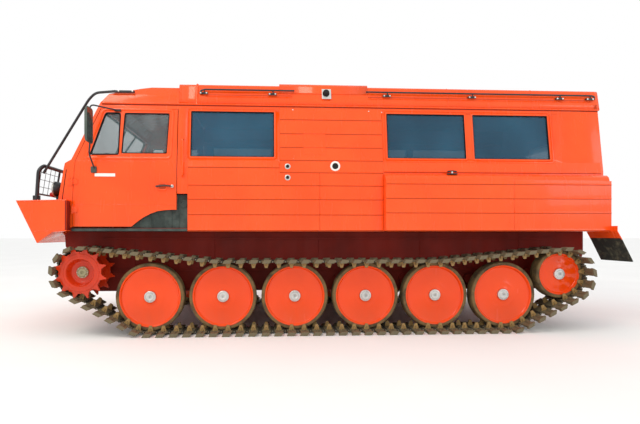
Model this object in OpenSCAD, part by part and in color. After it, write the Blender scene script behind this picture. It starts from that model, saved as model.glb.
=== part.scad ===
// Tracked all-terrain passenger carrier: cab, long passenger body, boat-like front
// bumper, and two rubber-tyred tracked running gears of six road wheels a side.
// Front is -X, the vehicle's left side is -Y, +Z is up. Z = 0 is the ground.

/* [Running gear] */
// Number of road wheels on a side
wheel_count = 6; // [6:1:6]
// Distance from one road wheel to the next
wheel_pitch = 775; // [760:1:900]
// X of the first road wheel
first_wheel_x = -1950; // [-1980:1:-1900]
// Outer radius of a road wheel's tyre
wheel_r = 362; // [300:1:368]
// Width of a wheel's tyre
tyre_w = 150; // [110:1:160]
// Radial thickness of the rubber tyre
tyre_t = 36; // [20:1:60]
// Radius of a wheel's hub cap
hub_cap_r = 62; // [40:1:75]
// Outer radius of the rear idler's tyre
idler_r = 268; // [240:1:280]
// Distance from the idler's axle back to the body's rear face
idler_to_rear = 548; // [500:1:580]
// Height of the idler's axle
idler_z = 622; // [590:1:640]
// X of the front drive sprocket
sprocket_x = -2650; // [-2700:1:-2640]
// Height of the sprocket's axle
sprocket_z = 665; // [650:1:690]
// Number of teeth on a sprocket
sprocket_teeth = 12; // [12:1:12]
// Distance between a sprocket's two toothed rings, centre to centre
ring_gap = 300; // [296:1:310]

/* [Tracks] */
// Half of the distance between the two tracks' centre lines
track_y = 1230; // [1220:1:1290]
// Width of a track
track_w = 540; // [500:1:560]
// Pitch of the track, from pin to pin
link_pitch = 136; // [132:1:138]
// Thickness of a link's plate
link_t = 18; // [12:1:22]
// Height of the grouser bar below the plate
grouser_h = 17; // [8:1:24]
// Radius of a link pin
link_pin_r = 7; // [5:1:8]

/* [Body] */
// Half width of the body at its waist
waist_y = 1250; // [1200:1:1500]
// How far each side leans in between the waist and the gutter
lean_in = 100; // [60:1:130]
// Height of the body's lower edge
body_z = 1100; // [1090:1:1130]
// Height of the waist, where the sides begin to lean in
waist_z = 1780; // [1740:1:1820]
// Height of the gutter along the roof's edge
gutter_z = 2505; // [2490:1:2560]
// Height of the roof's crown
roof_z = 2755; // [2730:1:2790]
// X of the body's rear face
rear_x = 3120; // [2980:1:3744]
// Thickness of the body's walls
wall = 40; // [30:1:50]
// Thickness of a window pane
glass_t = 6; // [4:1:8]
// How far the rear side boxes stand out from the body's side
box_out = 110; // [80:1:150]

/* [Front] */
// X of the bumper's foremost edge
bumper_x = -3310; // [-3340:1:-3260]
// How far the bumper stands out past the body's side
bumper_out = 120; // [60:1:150]
// Tube radius of the brush guard
guard_tube_r = 21; // [15:1:26]
// Tube radius of the branch deflector stays
stay_r = 15; // [10:1:18]
// Radius of a headlamp
lamp_r = 88; // [70:1:100]

/* [Fits] */
// Gap between pieces that move past each other
gap = 4; // [3:1:6]
// Gap round a shaft that turns in its housing
running = 0.08; // [0.05:0.01:0.1]
// Radius of the tow pin's bore
tow_bore_r = 20; // [15:1:26]
// Radius of the hinge pins of doors and hatch
hinge_pin_r = 6; // [4:0.2:7.2]

/* [Hidden] */
$fn = 48;
paint = "#ff5a14";
khaki = "#77705c";
dark = "#2a2c2c";
glass_colour = "#7fa0ad";
left = -1;
right = 1;
// Thin bond between a rim and its tyre, and under each hub cap
bond = 0.1;

// Heights of the running gear, from the ground up
pitch_z = grouser_h + link_t / 2;
wheel_z = pitch_z + link_t / 2 + 0.5 + wheel_r;
pitch_off = link_t / 2 + 0.5;
sprocket_r = link_pitch / (2 * sin(180 / sprocket_teeth));
function wheel_x(i) = first_wheel_x + (i - 1) * wheel_pitch;

// Widths and places that follow the body's own
gutter_y = waist_y - lean_in;
box_y = waist_y + box_out;
bumper_y = waist_y + bumper_out;
idler_x = rear_x - idler_to_rear;
knuckle_r = hinge_pin_r + 5;

// Hull under the floor
hull_y = track_y - track_w / 2 - 40;
hull_bottom_z = 420;
hull_t = 12;
hull_front_x = -2990;
hull_rear_x = rear_x - 20;
axle_r = 30;

// Cab outline, seen from the side
cab_rear_x = -1672;
door_front_x = -2776;
door_rear_x = -1680;
door_low_z = 1150;
door_top_z = 2440;
hinge_x = -2780;
hinge_y = waist_y + knuckle_r + 1;
cab_outline = [
  [cab_rear_x, body_z], [-2880, body_z], [-2925, 1450], [-2860, 1830], [-2795, 1870],
  [-2520, gutter_z], [-2430, gutter_z + 104], [-2080, gutter_z + 178],
  [cab_rear_x, roof_z - 10]];
door_outline = [
  [door_front_x, door_low_z], [-2778, 1427], [-2752, 1853], [-2672, 2048],
  [-2505, door_top_z], [door_rear_x, door_top_z], [door_rear_x, 1334],
  [-1790, 1330], [-1880, 1318], [-1960, 1288], [-2040, 1244], [-2110, 1192],
  [-2160, door_low_z]];
quarter_outline = [[-2455, 2395], [-2294, 2395], [-2300, 1925], [-2611, 1920]];
drop_outline = [[-2250, 2395], [-1768, 2395], [-1788, 1943], [-2273, 1941]];

// Side windows: [x from, x to, z from, z to]
window_low_z = 1922;
window_high_z = 2392;
side_window_x = [[-1503, -636], [622, 1492], [1590, 2492]];
box_x0 = 588;
box_top_z = 1735;

// Roof opening under the hatch
hatch_x0 = -520;
hatch_x1 = 400;
hatch_y = 420;
hatch_t = 26;

// Rear door
rear_door_y = 420;
rear_door_z0 = 1180;
rear_door_z1 = 2380;
rear_window_z0 = 1900;
rear_window_z1 = 2280;
rear_window_y = 300;

// Half of the body's cross-section, from the lower edge to the crown, moved in by t
function side_points(t) = [[waist_y - t, body_z], [waist_y - t, waist_z], [gutter_y - t, gutter_z]];
function roof_points(t) = [
  [gutter_y - t, gutter_z], [gutter_y - 20 - t, gutter_z + 100 - t * 0.4],
  [gutter_y - 66 - t, roof_z - 56 - t * 0.8], [gutter_y - 250 - t, roof_z - 20 - t],
  [0, roof_z - t]];
function half_section(t) = concat(side_points(t), [for (i = [1:4]) roof_points(t)[i]]);
function flip(points) = [for (i = [len(points) - 1:-1:0]) [-points[i][0], points[i][1]]];
function full_section(t) = concat(half_section(t), [for (i = [1:6]) flip(half_section(t))[i]]);

// A solid along X between two places, from a cross-section in Y and Z
module along_x(x0, x1, points) {
  translate([x0, 0, 0]) rotate([90, 0, 90]) linear_extrude(x1 - x0) polygon(points);
}

// A solid along Y between two places, from an outline in X and Z
module along_y(y0, y1, points) {
  translate([0, y1, 0]) rotate([90, 0, 0]) linear_extrude(y1 - y0) polygon(points);
}

// A block between two corners
module block(low, high) { translate(low) cube(high - low); }

// The right side as drawn, or the left side as its mirror image
module on_side(s) { if (s == right) children(); else mirror([0, 1, 0]) children(); }
module both_sides() { children(); mirror([0, 1, 0]) children(); }

// A round bar from one point to another
module bar(a, b, r) {
  d = b - a;
  length = norm(d);
  translate(a) rotate([0, acos(d[2] / length), atan2(d[1], d[0])]) cylinder(r = r, h = length);
}

// A tube that follows points: straight lengths that meet in a round joint at each bend
module tube_run(points, r) {
  last = len(points) - 2;
  for (i = [0:last]) {
    along = (points[i + 1] - points[i]) / norm(points[i + 1] - points[i]) * r / 2;
    bar(points[i] + (i > 0 ? 1 : 0) * along, points[i + 1] - (i < last ? 1 : 0) * along, r);
  }
  for (i = [1:last]) translate(points[i]) sphere(r = r * 1.12);
}

/* Track path: each roller is [x, z, radius of the pitch line]. A negative radius is a
   bend the other way, where the slack upper run lies on the wheels and rises again. */
plate_half = link_pitch / 2 - 12;
wing_half = link_pitch / 2 - 24;
slack_r = 620;
// A straight link dips below the curve that its middle follows
link_dip = plate_half * plate_half / (2 * slack_r);
slack_z = wheel_z + wheel_r + pitch_off + link_dip;
rollers = [
  [wheel_x(1), wheel_z, wheel_r + pitch_off],
  [wheel_x(wheel_count), wheel_z, wheel_r + pitch_off],
  [idler_x, idler_z, idler_r + pitch_off],
  [wheel_x(wheel_count - 1), slack_z + slack_r, -slack_r],
  [wheel_x(2), slack_z + slack_r, -slack_r],
  [sprocket_x, sprocket_z, sprocket_r]];
roller_count = len(rollers);
function roller(i) = rollers[(i + roller_count) % roller_count];
function step_to(i) = [roller(i + 1)[0] - roller(i)[0], roller(i + 1)[1] - roller(i)[1]];
function heading(i) = atan2(step_to(i)[1], step_to(i)[0])
  + asin((roller(i)[2] - roller(i + 1)[2]) / norm(step_to(i)));
function straight(i) = sqrt(pow(norm(step_to(i)), 2) - pow(roller(i)[2] - roller(i + 1)[2], 2));
function wrapped(a) = a - 360 * round(a / 360);
function turn_raw(i) = wrapped(heading(i) - heading(i - 1 + roller_count));
function turn(i) = (roller(i)[2] > 0 && turn_raw(i) < -1) ? turn_raw(i) + 360 : turn_raw(i);
function arc(i) = abs(roller(i)[2] * turn(i)) * PI / 180;
function total(i = 0) = i == roller_count ? 0 : arc(i) + straight(i) + total(i + 1);
path_length = total();
link_count = round(path_length / link_pitch);
link_step = path_length / link_count;

// Place on the path: [x, z, heading] at distance s from the start of roller i's arc
function on_path(s, i = 0) =
  s < arc(i) ? on_arc(i, heading(i - 1 + roller_count) + s / roller(i)[2] * 180 / PI) :
  s < arc(i) + straight(i) ? on_line(i, s - arc(i)) :
  on_path(s - arc(i) - straight(i), i + 1);
function on_arc(i, t) = [roller(i)[0] + roller(i)[2] * sin(t), roller(i)[1] - roller(i)[2] * cos(t), t];
function on_line(i, s) = let (t = heading(i)) [
  roller(i)[0] + roller(i)[2] * sin(t) + s * cos(t),
  roller(i)[1] - roller(i)[2] * cos(t) + s * sin(t), t];

// The first link is placed so that the gap beside it takes a sprocket tooth
function before_sprocket(i = 0) = i == roller_count - 1 ? 0 : arc(i) + straight(i) + before_sprocket(i + 1);
sprocket_start = before_sprocket();
first_gap = ceil(sprocket_start / link_step);
tooth_phase = heading(roller_count - 2) - 90
  + (first_gap * link_step - sprocket_start) / sprocket_r * 180 / PI;

module at_path(s) {
  p = on_path(s);
  translate([p[0], track_y, p[1]]) rotate([0, -p[2], 0]) children();
}

horn_y = tyre_w / 2 + 15;
horn_t = 14;
horn_h = 60;
centre_w = ring_gap - 36;
// One link: a plate with two wings, a grouser bar outside and two guide horns inside
module link_shoe() {
  block([-plate_half, -centre_w / 2, -link_t / 2], [plate_half, centre_w / 2, link_t / 2]);
  block([-wing_half, -track_w / 2, -link_t / 2], [wing_half, track_w / 2, link_t / 2]);
  block([-14, -track_w / 2, -link_t / 2 - grouser_h], [14, track_w / 2, 0]);
  for (y = [-horn_y, horn_y])
    along_y(y - horn_t / 2, y + horn_t / 2, [
      [-34, 0], [34, 0], [16, link_t / 2 + horn_h], [-16, link_t / 2 + horn_h]]);
}

// One whole track: every link and the pin beside it are solids of their own
module track(s) {
  on_side(s) for (i = [0:link_count - 1]) {
    color(khaki) at_path((i + 0.5) * link_step) link_shoe();
    color(dark) at_path(i * link_step) rotate([90, 0, 0])
      cylinder(r = link_pin_r, h = centre_w, center = true);
  }
}

// A wheel about its own axle, outer face towards +Y
module wheel_about(r, rim_r, bore_r) {
  rotate([-90, 0, 0]) {
    difference() {
      translate([0, 0, -tyre_w / 2]) cylinder(r = r, h = tyre_w, $fn = 96);
      translate([0, 0, -tyre_w]) cylinder(r = rim_r + bond, h = 2 * tyre_w, $fn = 96);
    }
    rotate_extrude($fn = 96) polygon([
      [bore_r, -66], [rim_r - 40, -66], [rim_r - 30, -tyre_w / 2 + 4], [rim_r, -tyre_w / 2 + 4],
      [rim_r, tyre_w / 2 - 4], [rim_r - 14, tyre_w / 2 - 4], [rim_r - 22, 46],
      [150, 46], [120, 56], [bore_r, 56]]);
    translate([0, 0, 56 + bond]) cylinder(r = hub_cap_r, h = 26);
  }
}

module road_wheel(i, s) {
  color(paint) on_side(s) translate([wheel_x(i), track_y, wheel_z])
    wheel_about(wheel_r, wheel_r - tyre_t, axle_r + running);
}

module idler(s) {
  color(paint) on_side(s) translate([idler_x, track_y, idler_z])
    wheel_about(idler_r, idler_r - tyre_t, axle_r + running);
}

tooth_root_r = sprocket_r - link_t / 2 - 22;
tooth_tip_r = sprocket_r + 20;
tooth_half = 11;
tip_half = 5;
root_half = 26;
ring_t = 24;
module toothed_ring() {
  linear_extrude(ring_t, center = true) difference() {
    union() {
      circle(r = tooth_root_r, $fn = 96);
      for (i = [0:sprocket_teeth - 1])
        rotate(tooth_phase + 360 / sprocket_teeth * i)
          polygon([
            [tooth_root_r - 12, -root_half], [sprocket_r, -tooth_half], [tooth_tip_r, -tip_half],
            [tooth_tip_r, tip_half], [sprocket_r, tooth_half], [tooth_root_r - 12, root_half]]);
    }
    circle(r = tooth_root_r - 62, $fn = 96);
  }
}

drum_r = 150;
module sprocket(s) {
  color(paint) on_side(s) translate([sprocket_x, track_y, sprocket_z]) rotate([90, 0, 0]) {
    for (side = [-1, 1]) translate([0, 0, side * ring_gap / 2]) toothed_ring();
    rotate_extrude($fn = 96) polygon([
      [axle_r + running, -70], [drum_r - 20, -70], [drum_r - 6, -ring_gap / 2 - 12],
      [tooth_root_r - 61, -ring_gap / 2 - 12], [tooth_root_r - 61, -ring_gap / 2 + 12],
      [drum_r + 12, -ring_gap / 2 + 12], [drum_r, -ring_gap / 2 + 30],
      [drum_r, ring_gap / 2 - 30], [drum_r + 12, ring_gap / 2 - 12],
      [tooth_root_r - 61, ring_gap / 2 - 12], [tooth_root_r - 61, ring_gap / 2 + 12],
      [drum_r - 6, ring_gap / 2 + 12], [drum_r - 20, 70], [axle_r + running, 70]]);
    translate([0, 0, -96]) cylinder(r = hub_cap_r, h = 26 - bond);
  }
}

// Torsion-bar swing arms with the stub axles, final-drive housing and idler crank
arm_drop_x = 250;
arm_y = hull_y + 34;
arm_half_t = 17;
pivot_boss_r = 58;
axle_boss_r = 44;
module swing_arm(x, z, px, pz) {
  translate([px, arm_y + arm_half_t, pz]) rotate([90, 0, 0]) linear_extrude(2 * arm_half_t) {
    circle(r = pivot_boss_r);
    translate([x - px, z - pz]) circle(r = axle_boss_r);
    rotate(atan2(z - pz, x - px)) translate([0, -30]) square([norm([x - px, z - pz]), 60]);
  }
  bar([px, hull_y, pz], [px, arm_y - arm_half_t + 2, pz], pivot_boss_r - 16);
  bar([x, arm_y + arm_half_t - 2, z], [x, track_y + 54, z], axle_r);
}

arm_pivot_z = hull_bottom_z + 130;
module swing_arms(s) {
  color("#5a2013") on_side(s) {
    for (i = [1:wheel_count])
      swing_arm(wheel_x(i), wheel_z, wheel_x(i) - arm_drop_x, arm_pivot_z);
    swing_arm(idler_x, idler_z, idler_x - 190, arm_pivot_z + 60);
    bar([sprocket_x, hull_y, sprocket_z], [sprocket_x, track_y - ring_gap / 2 - 30, sprocket_z], 110);
    bar([sprocket_x, track_y - ring_gap / 2 - 30, sprocket_z], [sprocket_x, track_y + 66, sprocket_z], axle_r);
  }
}

// Boat-like hull tub: a plate box with raked ends, open at the top under the floor
hull_outline = [
  [hull_front_x, body_z], [hull_front_x + 10, 930], [-2620, hull_bottom_z],
  [hull_rear_x - 360, hull_bottom_z], [hull_rear_x - 40, 700], [hull_rear_x, 850], [hull_rear_x, body_z]];
hull_inner = [
  [hull_front_x + hull_t, body_z + 1], [hull_front_x + 10 + hull_t, 935],
  [-2614, hull_bottom_z + hull_t], [hull_rear_x - 366, hull_bottom_z + hull_t],
  [hull_rear_x - 40 - hull_t, 706], [hull_rear_x - hull_t, 852],
  [hull_rear_x - hull_t, body_z + 1]];
module hull_tub() {
  color("#7a1f10") difference() {
    along_y(-hull_y, hull_y, hull_outline);
    along_y(-hull_y + hull_t, hull_y - hull_t, hull_inner);
  }
}

floor_t = 36;
module body_floor() {
  color("#7a1f10") {
    block([-2868, -waist_y + wall + 1, body_z], [rear_x - wall, waist_y - wall - 1, body_z + floor_t]);
  }
}

// Front bumper: a folded prow, closed under, with a flat deck and raked front
bumper_skin = 12;
prow = [[bumper_x, 1420], [-2796, 1432], [-2796, 1100], [-2940, 1092], [-3096, 974]];
prow_in = [[bumper_x + 26, 1408], [-2780, 1418], [-2780, 1114], [-2946, 1104], [-3092, 992]];
module front_bumper() {
  color(paint) {
    difference() {
      along_y(-bumper_y, bumper_y, prow);
      along_y(-bumper_y + bumper_skin, bumper_y - bumper_skin, prow_in);
      block([-2932, -waist_y - gap, 1000], [-2700, waist_y + gap, 1500]);
      block([hull_front_x - 1, -hull_y - 1, 960], [-2700, hull_y + 1, body_z]);
    }
  }
}

// Brush guard: tube hoop over the bumper, with a plate foot under each leg
guard_y = waist_y - 240;
guard_top_z = 1835;
guard_leg = [[-3258, 1432], [-3236, 1770]];
guard_bar_x = -3200;
module brush_guard() {
  color(dark) {
    tube_run([
      [guard_leg[0][0], -guard_y, guard_leg[0][1]], [guard_leg[1][0], -guard_y, guard_leg[1][1]],
      [guard_bar_x, -guard_y + 40, guard_top_z], [guard_bar_x, guard_y - 40, guard_top_z],
      [guard_leg[1][0], guard_y, guard_leg[1][1]], [guard_leg[0][0], guard_y, guard_leg[0][1]]],
      guard_tube_r);
    bar([guard_leg[0][0] + 4, -guard_y, 1520], [guard_leg[0][0] + 4, guard_y, 1520], 10);
    for (y = [490 - guard_y, guard_y - 490]) bar([guard_bar_x, y, guard_top_z], [guard_leg[0][0] + 4, y, 1520], 12);
    both_sides() {
      translate([guard_leg[0][0] - 2, guard_y, 1433]) cylinder(r = 52, h = 10);
      lamp_mesh();
    }
  }
}

// Wire mesh between each leg and the inner upright of the guard
wire_r = 3;
mesh_x = -3250;
module lamp_mesh() {
  for (y = [guard_y - 410:82:guard_y - 80]) bar([mesh_x, y, 1515], [mesh_x + 44, y, 1822], wire_r);
  for (z = [1600, 1690, 1780])
    translate([mesh_x + 6 + (z - 1515) * 0.143, 0, z])
      bar([0, guard_y - 465, 0], [0, guard_y - 20, 0], wire_r);
}

// Headlamps stand on brackets on the bumper's deck
lamp_x = -3085;
lamp_y = guard_y - 230;
lamp_z = 1590;
module headlamps() {
  color(dark) both_sides() {
    translate([lamp_x, lamp_y, lamp_z]) rotate([0, -90, 0]) rotate_extrude()
      polygon([[0, -70], [50, -62], [78, -30], [lamp_r, 10], [lamp_r, 42], [lamp_r - 8, 42], [0, 36]]);
    block([lamp_x - 20, lamp_y - 22, 1432], [lamp_x + 20, lamp_y + 22, lamp_z - lamp_r + 14]);
  }
}

// Branch deflectors from the brush guard up to the roof's sides
stay_y = gutter_y - 165;
module deflector_stays() {
  color(dark) both_sides() {
    tube_run([
      [-3203, stay_y - 20, 1752], [-2680, stay_y, gutter_z + 67], [-2590, stay_y, gutter_z + 135],
      [-2160, stay_y, gutter_z + 195]], stay_r);
    block([-2200, stay_y - 14, gutter_z + 165], [-2164, stay_y + 14, gutter_z + 190]);
  }
}

// Cab shell: one welded casing, open to the rear and at the doors and windscreen
module cab_volume(t) {
  intersection() {
    along_x(-3000, cab_rear_x + t * 2, full_section(t));
    along_y(-waist_y - 10, waist_y + 10, t == 0 ? cab_outline : cab_inner);
  }
}
cab_inner = [
  [cab_rear_x + 20, body_z - 5], [-2840, body_z - 5], [-2884, 1450], [-2825, 1810], [-2758, 1862],
  [-2487, gutter_z - 10], [-2410, gutter_z + 66], [-2070, gutter_z + 138],
  [cab_rear_x + 20, roof_z - 50]];
screen_frame = 60;
module cab_shell() {
  color(paint) both_sides() for (z = hinge_heights)
    translate([hinge_x, hinge_y, z]) pin_and_lugs(hinge_l) block([-50, -14, 0], [-3, -4, lug_h]);
  color(paint) difference() {
    cab_volume(0);
    cab_volume(wall);
    along_x(cab_rear_x - 1, cab_rear_x + 1, full_section(wall));
    for (s = [-1, 1]) doorway(s);
    windscreen_cut();
    block([-2870, -waist_y, body_z - 1], [cab_rear_x + 1, waist_y, body_z + floor_t]);
    both_sides() block([-2800, waist_y - wall - 1, body_z - 1], [cab_rear_x + 1, waist_y + 1, door_low_z - gap]);
  }
}

// The doorway: the door's outline with a gap round it
module doorway(s) {
  grown = [
    [door_front_x - gap, door_low_z - gap - 1], [-2778 - gap, 1427], [-2752 - gap, 1855],
    [-2674 - gap, 2048], [-2507 - gap, door_top_z + gap], [door_rear_x + 20, door_top_z + gap],
    [door_rear_x + 20, door_low_z - gap - 1]];
  if (s > 0) along_y(waist_y - 180, waist_y + 20, grown);
  else along_y(-waist_y - 20, -waist_y + 180, grown);
}

// Windscreen: a flat raked pane let into the front of the cab
screen_low = [-2778, 1905];
screen_high = [-2540, 2452];
screen_y = waist_y - 240;
module windscreen_cut() {
  along_y(-screen_y, screen_y, [
    [screen_low[0] - 60, screen_low[1]], [screen_low[0] + 70, screen_low[1]],
    [screen_high[0] + 70, screen_high[1]], [screen_high[0] - 60, screen_high[1]]]);
}
module windscreen() {
  color(glass_colour) along_y(-screen_y, screen_y, [
    [screen_low[0] + 16, screen_low[1]], [screen_low[0] + 16 + glass_t, screen_low[1]],
    [screen_high[0] + 16 + glass_t, screen_high[1]], [screen_high[0] + 16, screen_high[1]]]);
}

// A piece of the side wall inside an outline, from depth t0 to depth t1 below the skin
module wall_piece(x0, x1, t0, t1, outline) {
  intersection() {
    along_x(x0, x1, concat(side_points(t0), [for (i = [2:-1:0]) side_points(t1)[i]]));
    along_y(waist_y - 200, waist_y + 20, outline);
  }
}

function rectangle(x0, x1, z0, z1) = [[x0, z0], [x1, z0], [x1, z1], [x0, z1]];

module cab_door(s) {
  color(paint) on_side(s) {
    difference() {
      wall_piece(-2900, cab_rear_x, 0, wall, door_outline);
      along_y(waist_y - 200, waist_y + 20, quarter_outline);
      along_y(waist_y - 200, waist_y + 20, drop_outline);
      handle_hole();
    }
    for (z = hinge_heights) translate([hinge_x, hinge_y, z]) knuckle(hinge_l) {
      block([3, -11, 0], [46, -4, hinge_l]);
      block([18, -14, 0], [46, -4, hinge_l]);
    }
  }
}

// Hinge: a knuckle bored for its pin, with its leaf, and the pin in its two lugs
hinge_heights = [1300, 1600];
hinge_l = 60;
lug_h = 12;
module knuckle(length) {
  difference() {
    union() {
      cylinder(r = knuckle_r, h = length);
      children();
    }
    translate([0, 0, -1]) cylinder(r = hinge_pin_r + running, h = length + 2);
  }
}
module pin_and_lugs(length) {
  translate([0, 0, -lug_h]) cylinder(r = hinge_pin_r, h = length + 2 * lug_h);
  for (z = [-lug_h - 1, length + 1]) translate([0, 0, z]) {
    cylinder(r = knuckle_r, h = lug_h);
    children();
  }
}

module door_glass(s) {
  color(glass_colour) on_side(s) {
    wall_piece(-2900, cab_rear_x, 14, 14 + glass_t, quarter_outline);
    wall_piece(-2900, cab_rear_x, 14, 14 + glass_t, drop_outline);
  }
}

// Pull handle: a lever on a pivot pin that stands in the door's skin
handle_x = -1722;
handle_z = 1586;
module handle_hole() {
  translate([handle_x, waist_y - wall - 1, handle_z]) rotate([-90, 0, 0])
    cylinder(r = 9 + running, h = wall + 2);
}
module door_handle(s) {
  color(dark) on_side(s) translate([handle_x, waist_y, handle_z]) {
    translate([0, -wall + 6, 0]) rotate([-90, 0, 0]) cylinder(r = 9, h = wall);
    translate([0, 3, 0]) rotate([-90, 0, 0]) cylinder(r = 17, h = 24);
    block([-178, 8, -11], [0, 24, 11]);
  }
}

// Mirror: a post held off the door by two arms, and a head that turns on the post
mirror_x = -2562;
mirror_y = waist_y + 100;
post_r = 8;
post_z = [1905, 2440];
arm_foot = [[-2545, 1772], [-2330, 2418]];
module mirror_arm(s) {
  color(dark) on_side(s) {
    translate([mirror_x, mirror_y, post_z[0]]) cylinder(r = post_r, h = post_z[1] - post_z[0]);
    bar([mirror_x, mirror_y, post_z[0] + 4], [arm_foot[0][0], waist_y + 6, arm_foot[0][1]], post_r);
    bar([mirror_x, mirror_y, post_z[1] - 4], [arm_foot[1][0], gutter_y + 26, arm_foot[1][1]], post_r);
    block([arm_foot[0][0] - 38, waist_y + 1, arm_foot[0][1] - 46],
          [arm_foot[0][0] + 22, waist_y + 16, arm_foot[0][1] + 22]);
    block([arm_foot[1][0] - 30, gutter_y + 16, arm_foot[1][1] - 12],
          [arm_foot[1][0] + 40, gutter_y + 32, arm_foot[1][1] + 12]);
  }
}
head_z = [2020, 2390];
module side_mirror(s) {
  color(dark) on_side(s) difference() {
    block([mirror_x - 16, mirror_y - 36, head_z[0]], [mirror_x + 22, mirror_y + 144, head_z[1]]);
    translate([mirror_x, mirror_y, head_z[0] - 1])
      cylinder(r = post_r + running, h = head_z[1] - head_z[0] + 2);
  }
}

// Half width of the body's side at a height above the waist
function side_y(z) = waist_y - (z - waist_z) / (gutter_z - waist_z) * (waist_y - gutter_y);

// Grab bar behind each door
grab_x = -1612;
module grab_bars() {
  color(paint) both_sides() {
    bar([grab_x, waist_y + 36, 1690], [grab_x, waist_y + 24, 2110], 11);
    bar([grab_x, waist_y + 1, 1710], [grab_x, waist_y + 36, 1710], 9);
    bar([grab_x, side_y(2087) + 1, 2096], [grab_x, waist_y + 24, 2096], 9);
  }
}

// The whole body as a solid, its skin moved in by t, to cut feet that stand on the skin
stand_off = 0.3;
module body_block(t) { along_x(-2100, rear_x + 50, full_section(t)); }

// Sleeves of the heater and exhaust ports, the roof vent's cowl and the locker's latch
module ring_sleeve(x, z, r, bore, length) {
  translate([x, waist_y - wall + 1, z]) rotate([-90, 0, 0]) difference() {
    cylinder(r = r, h = wall + length);
    translate([0, 0, -1]) cylinder(r = bore, h = wall + length + 2);
  }
}
module side_fittings() {
  color("#c9c6bd") both_sides() {
    ring_sleeve(-476, 1811, 23.5, 17, 5);
    ring_sleeve(-476, 1689, 23.5, 17, 5);
    difference() {
      translate([-39, gutter_y - 72, gutter_z + 50]) rotate([16, 0, 0])
        block([-48, 40, 0], [48, 66, 110]);
      body_block(-stand_off);
    }
  }
}

// Grey rubber sill under the door, and the liner panel shown by the door's arch
module sill_liner(s) {
  color("#4a524c") on_side(s) {
    block([-2790, waist_y - wall, body_z], [-1564, waist_y - 4, body_z + 30]);
    block([-2230, waist_y - wall - 30, body_z + floor_t], [-1564, waist_y - wall - 18, 1500]);
  }
}

// Radius of the large port in each side wall
port_r = 42;

// Side wall of the passenger body, with its window openings and a notch by the sill
module body_side(s) {
  color(paint) on_side(s) difference() {
    along_x(cab_rear_x, rear_x - wall, concat(side_points(0), [for (i = [2:-1:0]) side_points(wall)[i]]));
    block([cab_rear_x - 1, waist_y - wall - 1, body_z - 1], [-1562, waist_y + 1, 1508]);
    for (w = side_window_x)
      along_y(waist_y - 200, waist_y + 20, rectangle(w[0], w[1], window_low_z, window_high_z));
    translate([-476, waist_y - wall - 1, 1811]) rotate([-90, 0, 0]) cylinder(r = 24, h = wall + 2);
    translate([-476, waist_y - wall - 1, 1689]) rotate([-90, 0, 0]) cylinder(r = 24, h = wall + 2);
    translate([50, waist_y - wall - 3, 1818]) rotate([-90, 0, 0]) cylinder(r = port_r, h = wall + 6);
  }
}

module side_windows() {
  color(glass_colour) both_sides()
    for (w = side_window_x)
      wall_piece(cab_rear_x, rear_x, 14, 14 + glass_t, rectangle(w[0], w[1], window_low_z, window_high_z));
}

// Wide lower box along the rear half of the side, rounded at its shoulder
box_skin = 20;
box_section = [
  [waist_y, body_z], [box_y, body_z], [box_y, box_top_z - 70], [box_y - 14, box_top_z - 30],
  [box_y - 44, box_top_z - 6], [waist_y, box_top_z]];
box_inner = [
  [waist_y - 1, body_z + box_skin], [box_y - box_skin, body_z + box_skin],
  [box_y - box_skin, box_top_z - 74], [box_y - 54, box_top_z - 26], [waist_y - 1, box_top_z - 22]];
module side_box(s) {
  color(paint) on_side(s) {
    difference() {
      along_x(box_x0, rear_x, box_section);
      along_x(box_x0 + box_skin, rear_x - box_skin, box_inner);
    }
  }
}

// Roof skin with the gutter strip along each edge
roof_half = roof_points(0);
roof_in = roof_points(wall);
module body_roof() {
  color(paint) {
    difference() {
      along_x(cab_rear_x, rear_x - wall, concat(
        roof_half, [for (i = [3:-1:0]) [-roof_half[i][0], roof_half[i][1]]],
        [for (i = [0:4]) [-roof_in[i][0], roof_in[i][1]]], [for (i = [3:-1:0]) roof_in[i]]));
      block([hatch_x0, -hatch_y, roof_z - 200], [hatch_x1, hatch_y, roof_z + 100]);
    }
    for (y = hatch_hinge_y) along_hatch_hinge(y) pin_and_lugs(hinge_l)
      block([-9, 2, 0], [3, knuckle_r + 14, lug_h]);
    both_sides() block([cab_rear_x, gutter_y, gutter_z], [rear_x - wall, gutter_y + 16, gutter_z + 12]);
  }
}

// Raised roof hatch, hinged along its front edge
hatch_z = roof_z + 2;
hatch_hinge_x = hatch_x0 - 50;
hatch_hinge_y = [-330, 270];
module along_hatch_hinge(y) {
  translate([hatch_hinge_x, y, hatch_z + knuckle_r + 2]) rotate([-90, 0, 0]) children();
}
module roof_hatch() {
  color(paint) {
    block([hatch_x0 - 30, -hatch_y - 30, hatch_z], [hatch_x1 + 30, hatch_y + 30, hatch_z + hatch_t]);
    for (y = hatch_hinge_y) along_hatch_hinge(y) knuckle(hinge_l) block([3, -9, 0], [24, 1, hinge_l]);
  }
}

// Roof rails: thin tubes on stand-offs along both edges
rail_y = gutter_y - 10;
rail_z = gutter_z + 133;
rail_r = 9;
module rail(x0, x1, posts) {
  bar([x0, rail_y, rail_z], [x1, rail_y, rail_z], rail_r);
  for (x = posts) bar([x, rail_y - 36, rail_z - 34], [x, rail_y, rail_z], 8);
}
module roof_rails() {
  color(dark) both_sides() difference() {
    union() {
      rail(-1442, -396, [-1420, -640, -420]);
      rail(448, rear_x - 60, [470, 652, 1636, 2670, rear_x - 80]);
    }
    body_block(-stand_off);
  }
}

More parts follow.
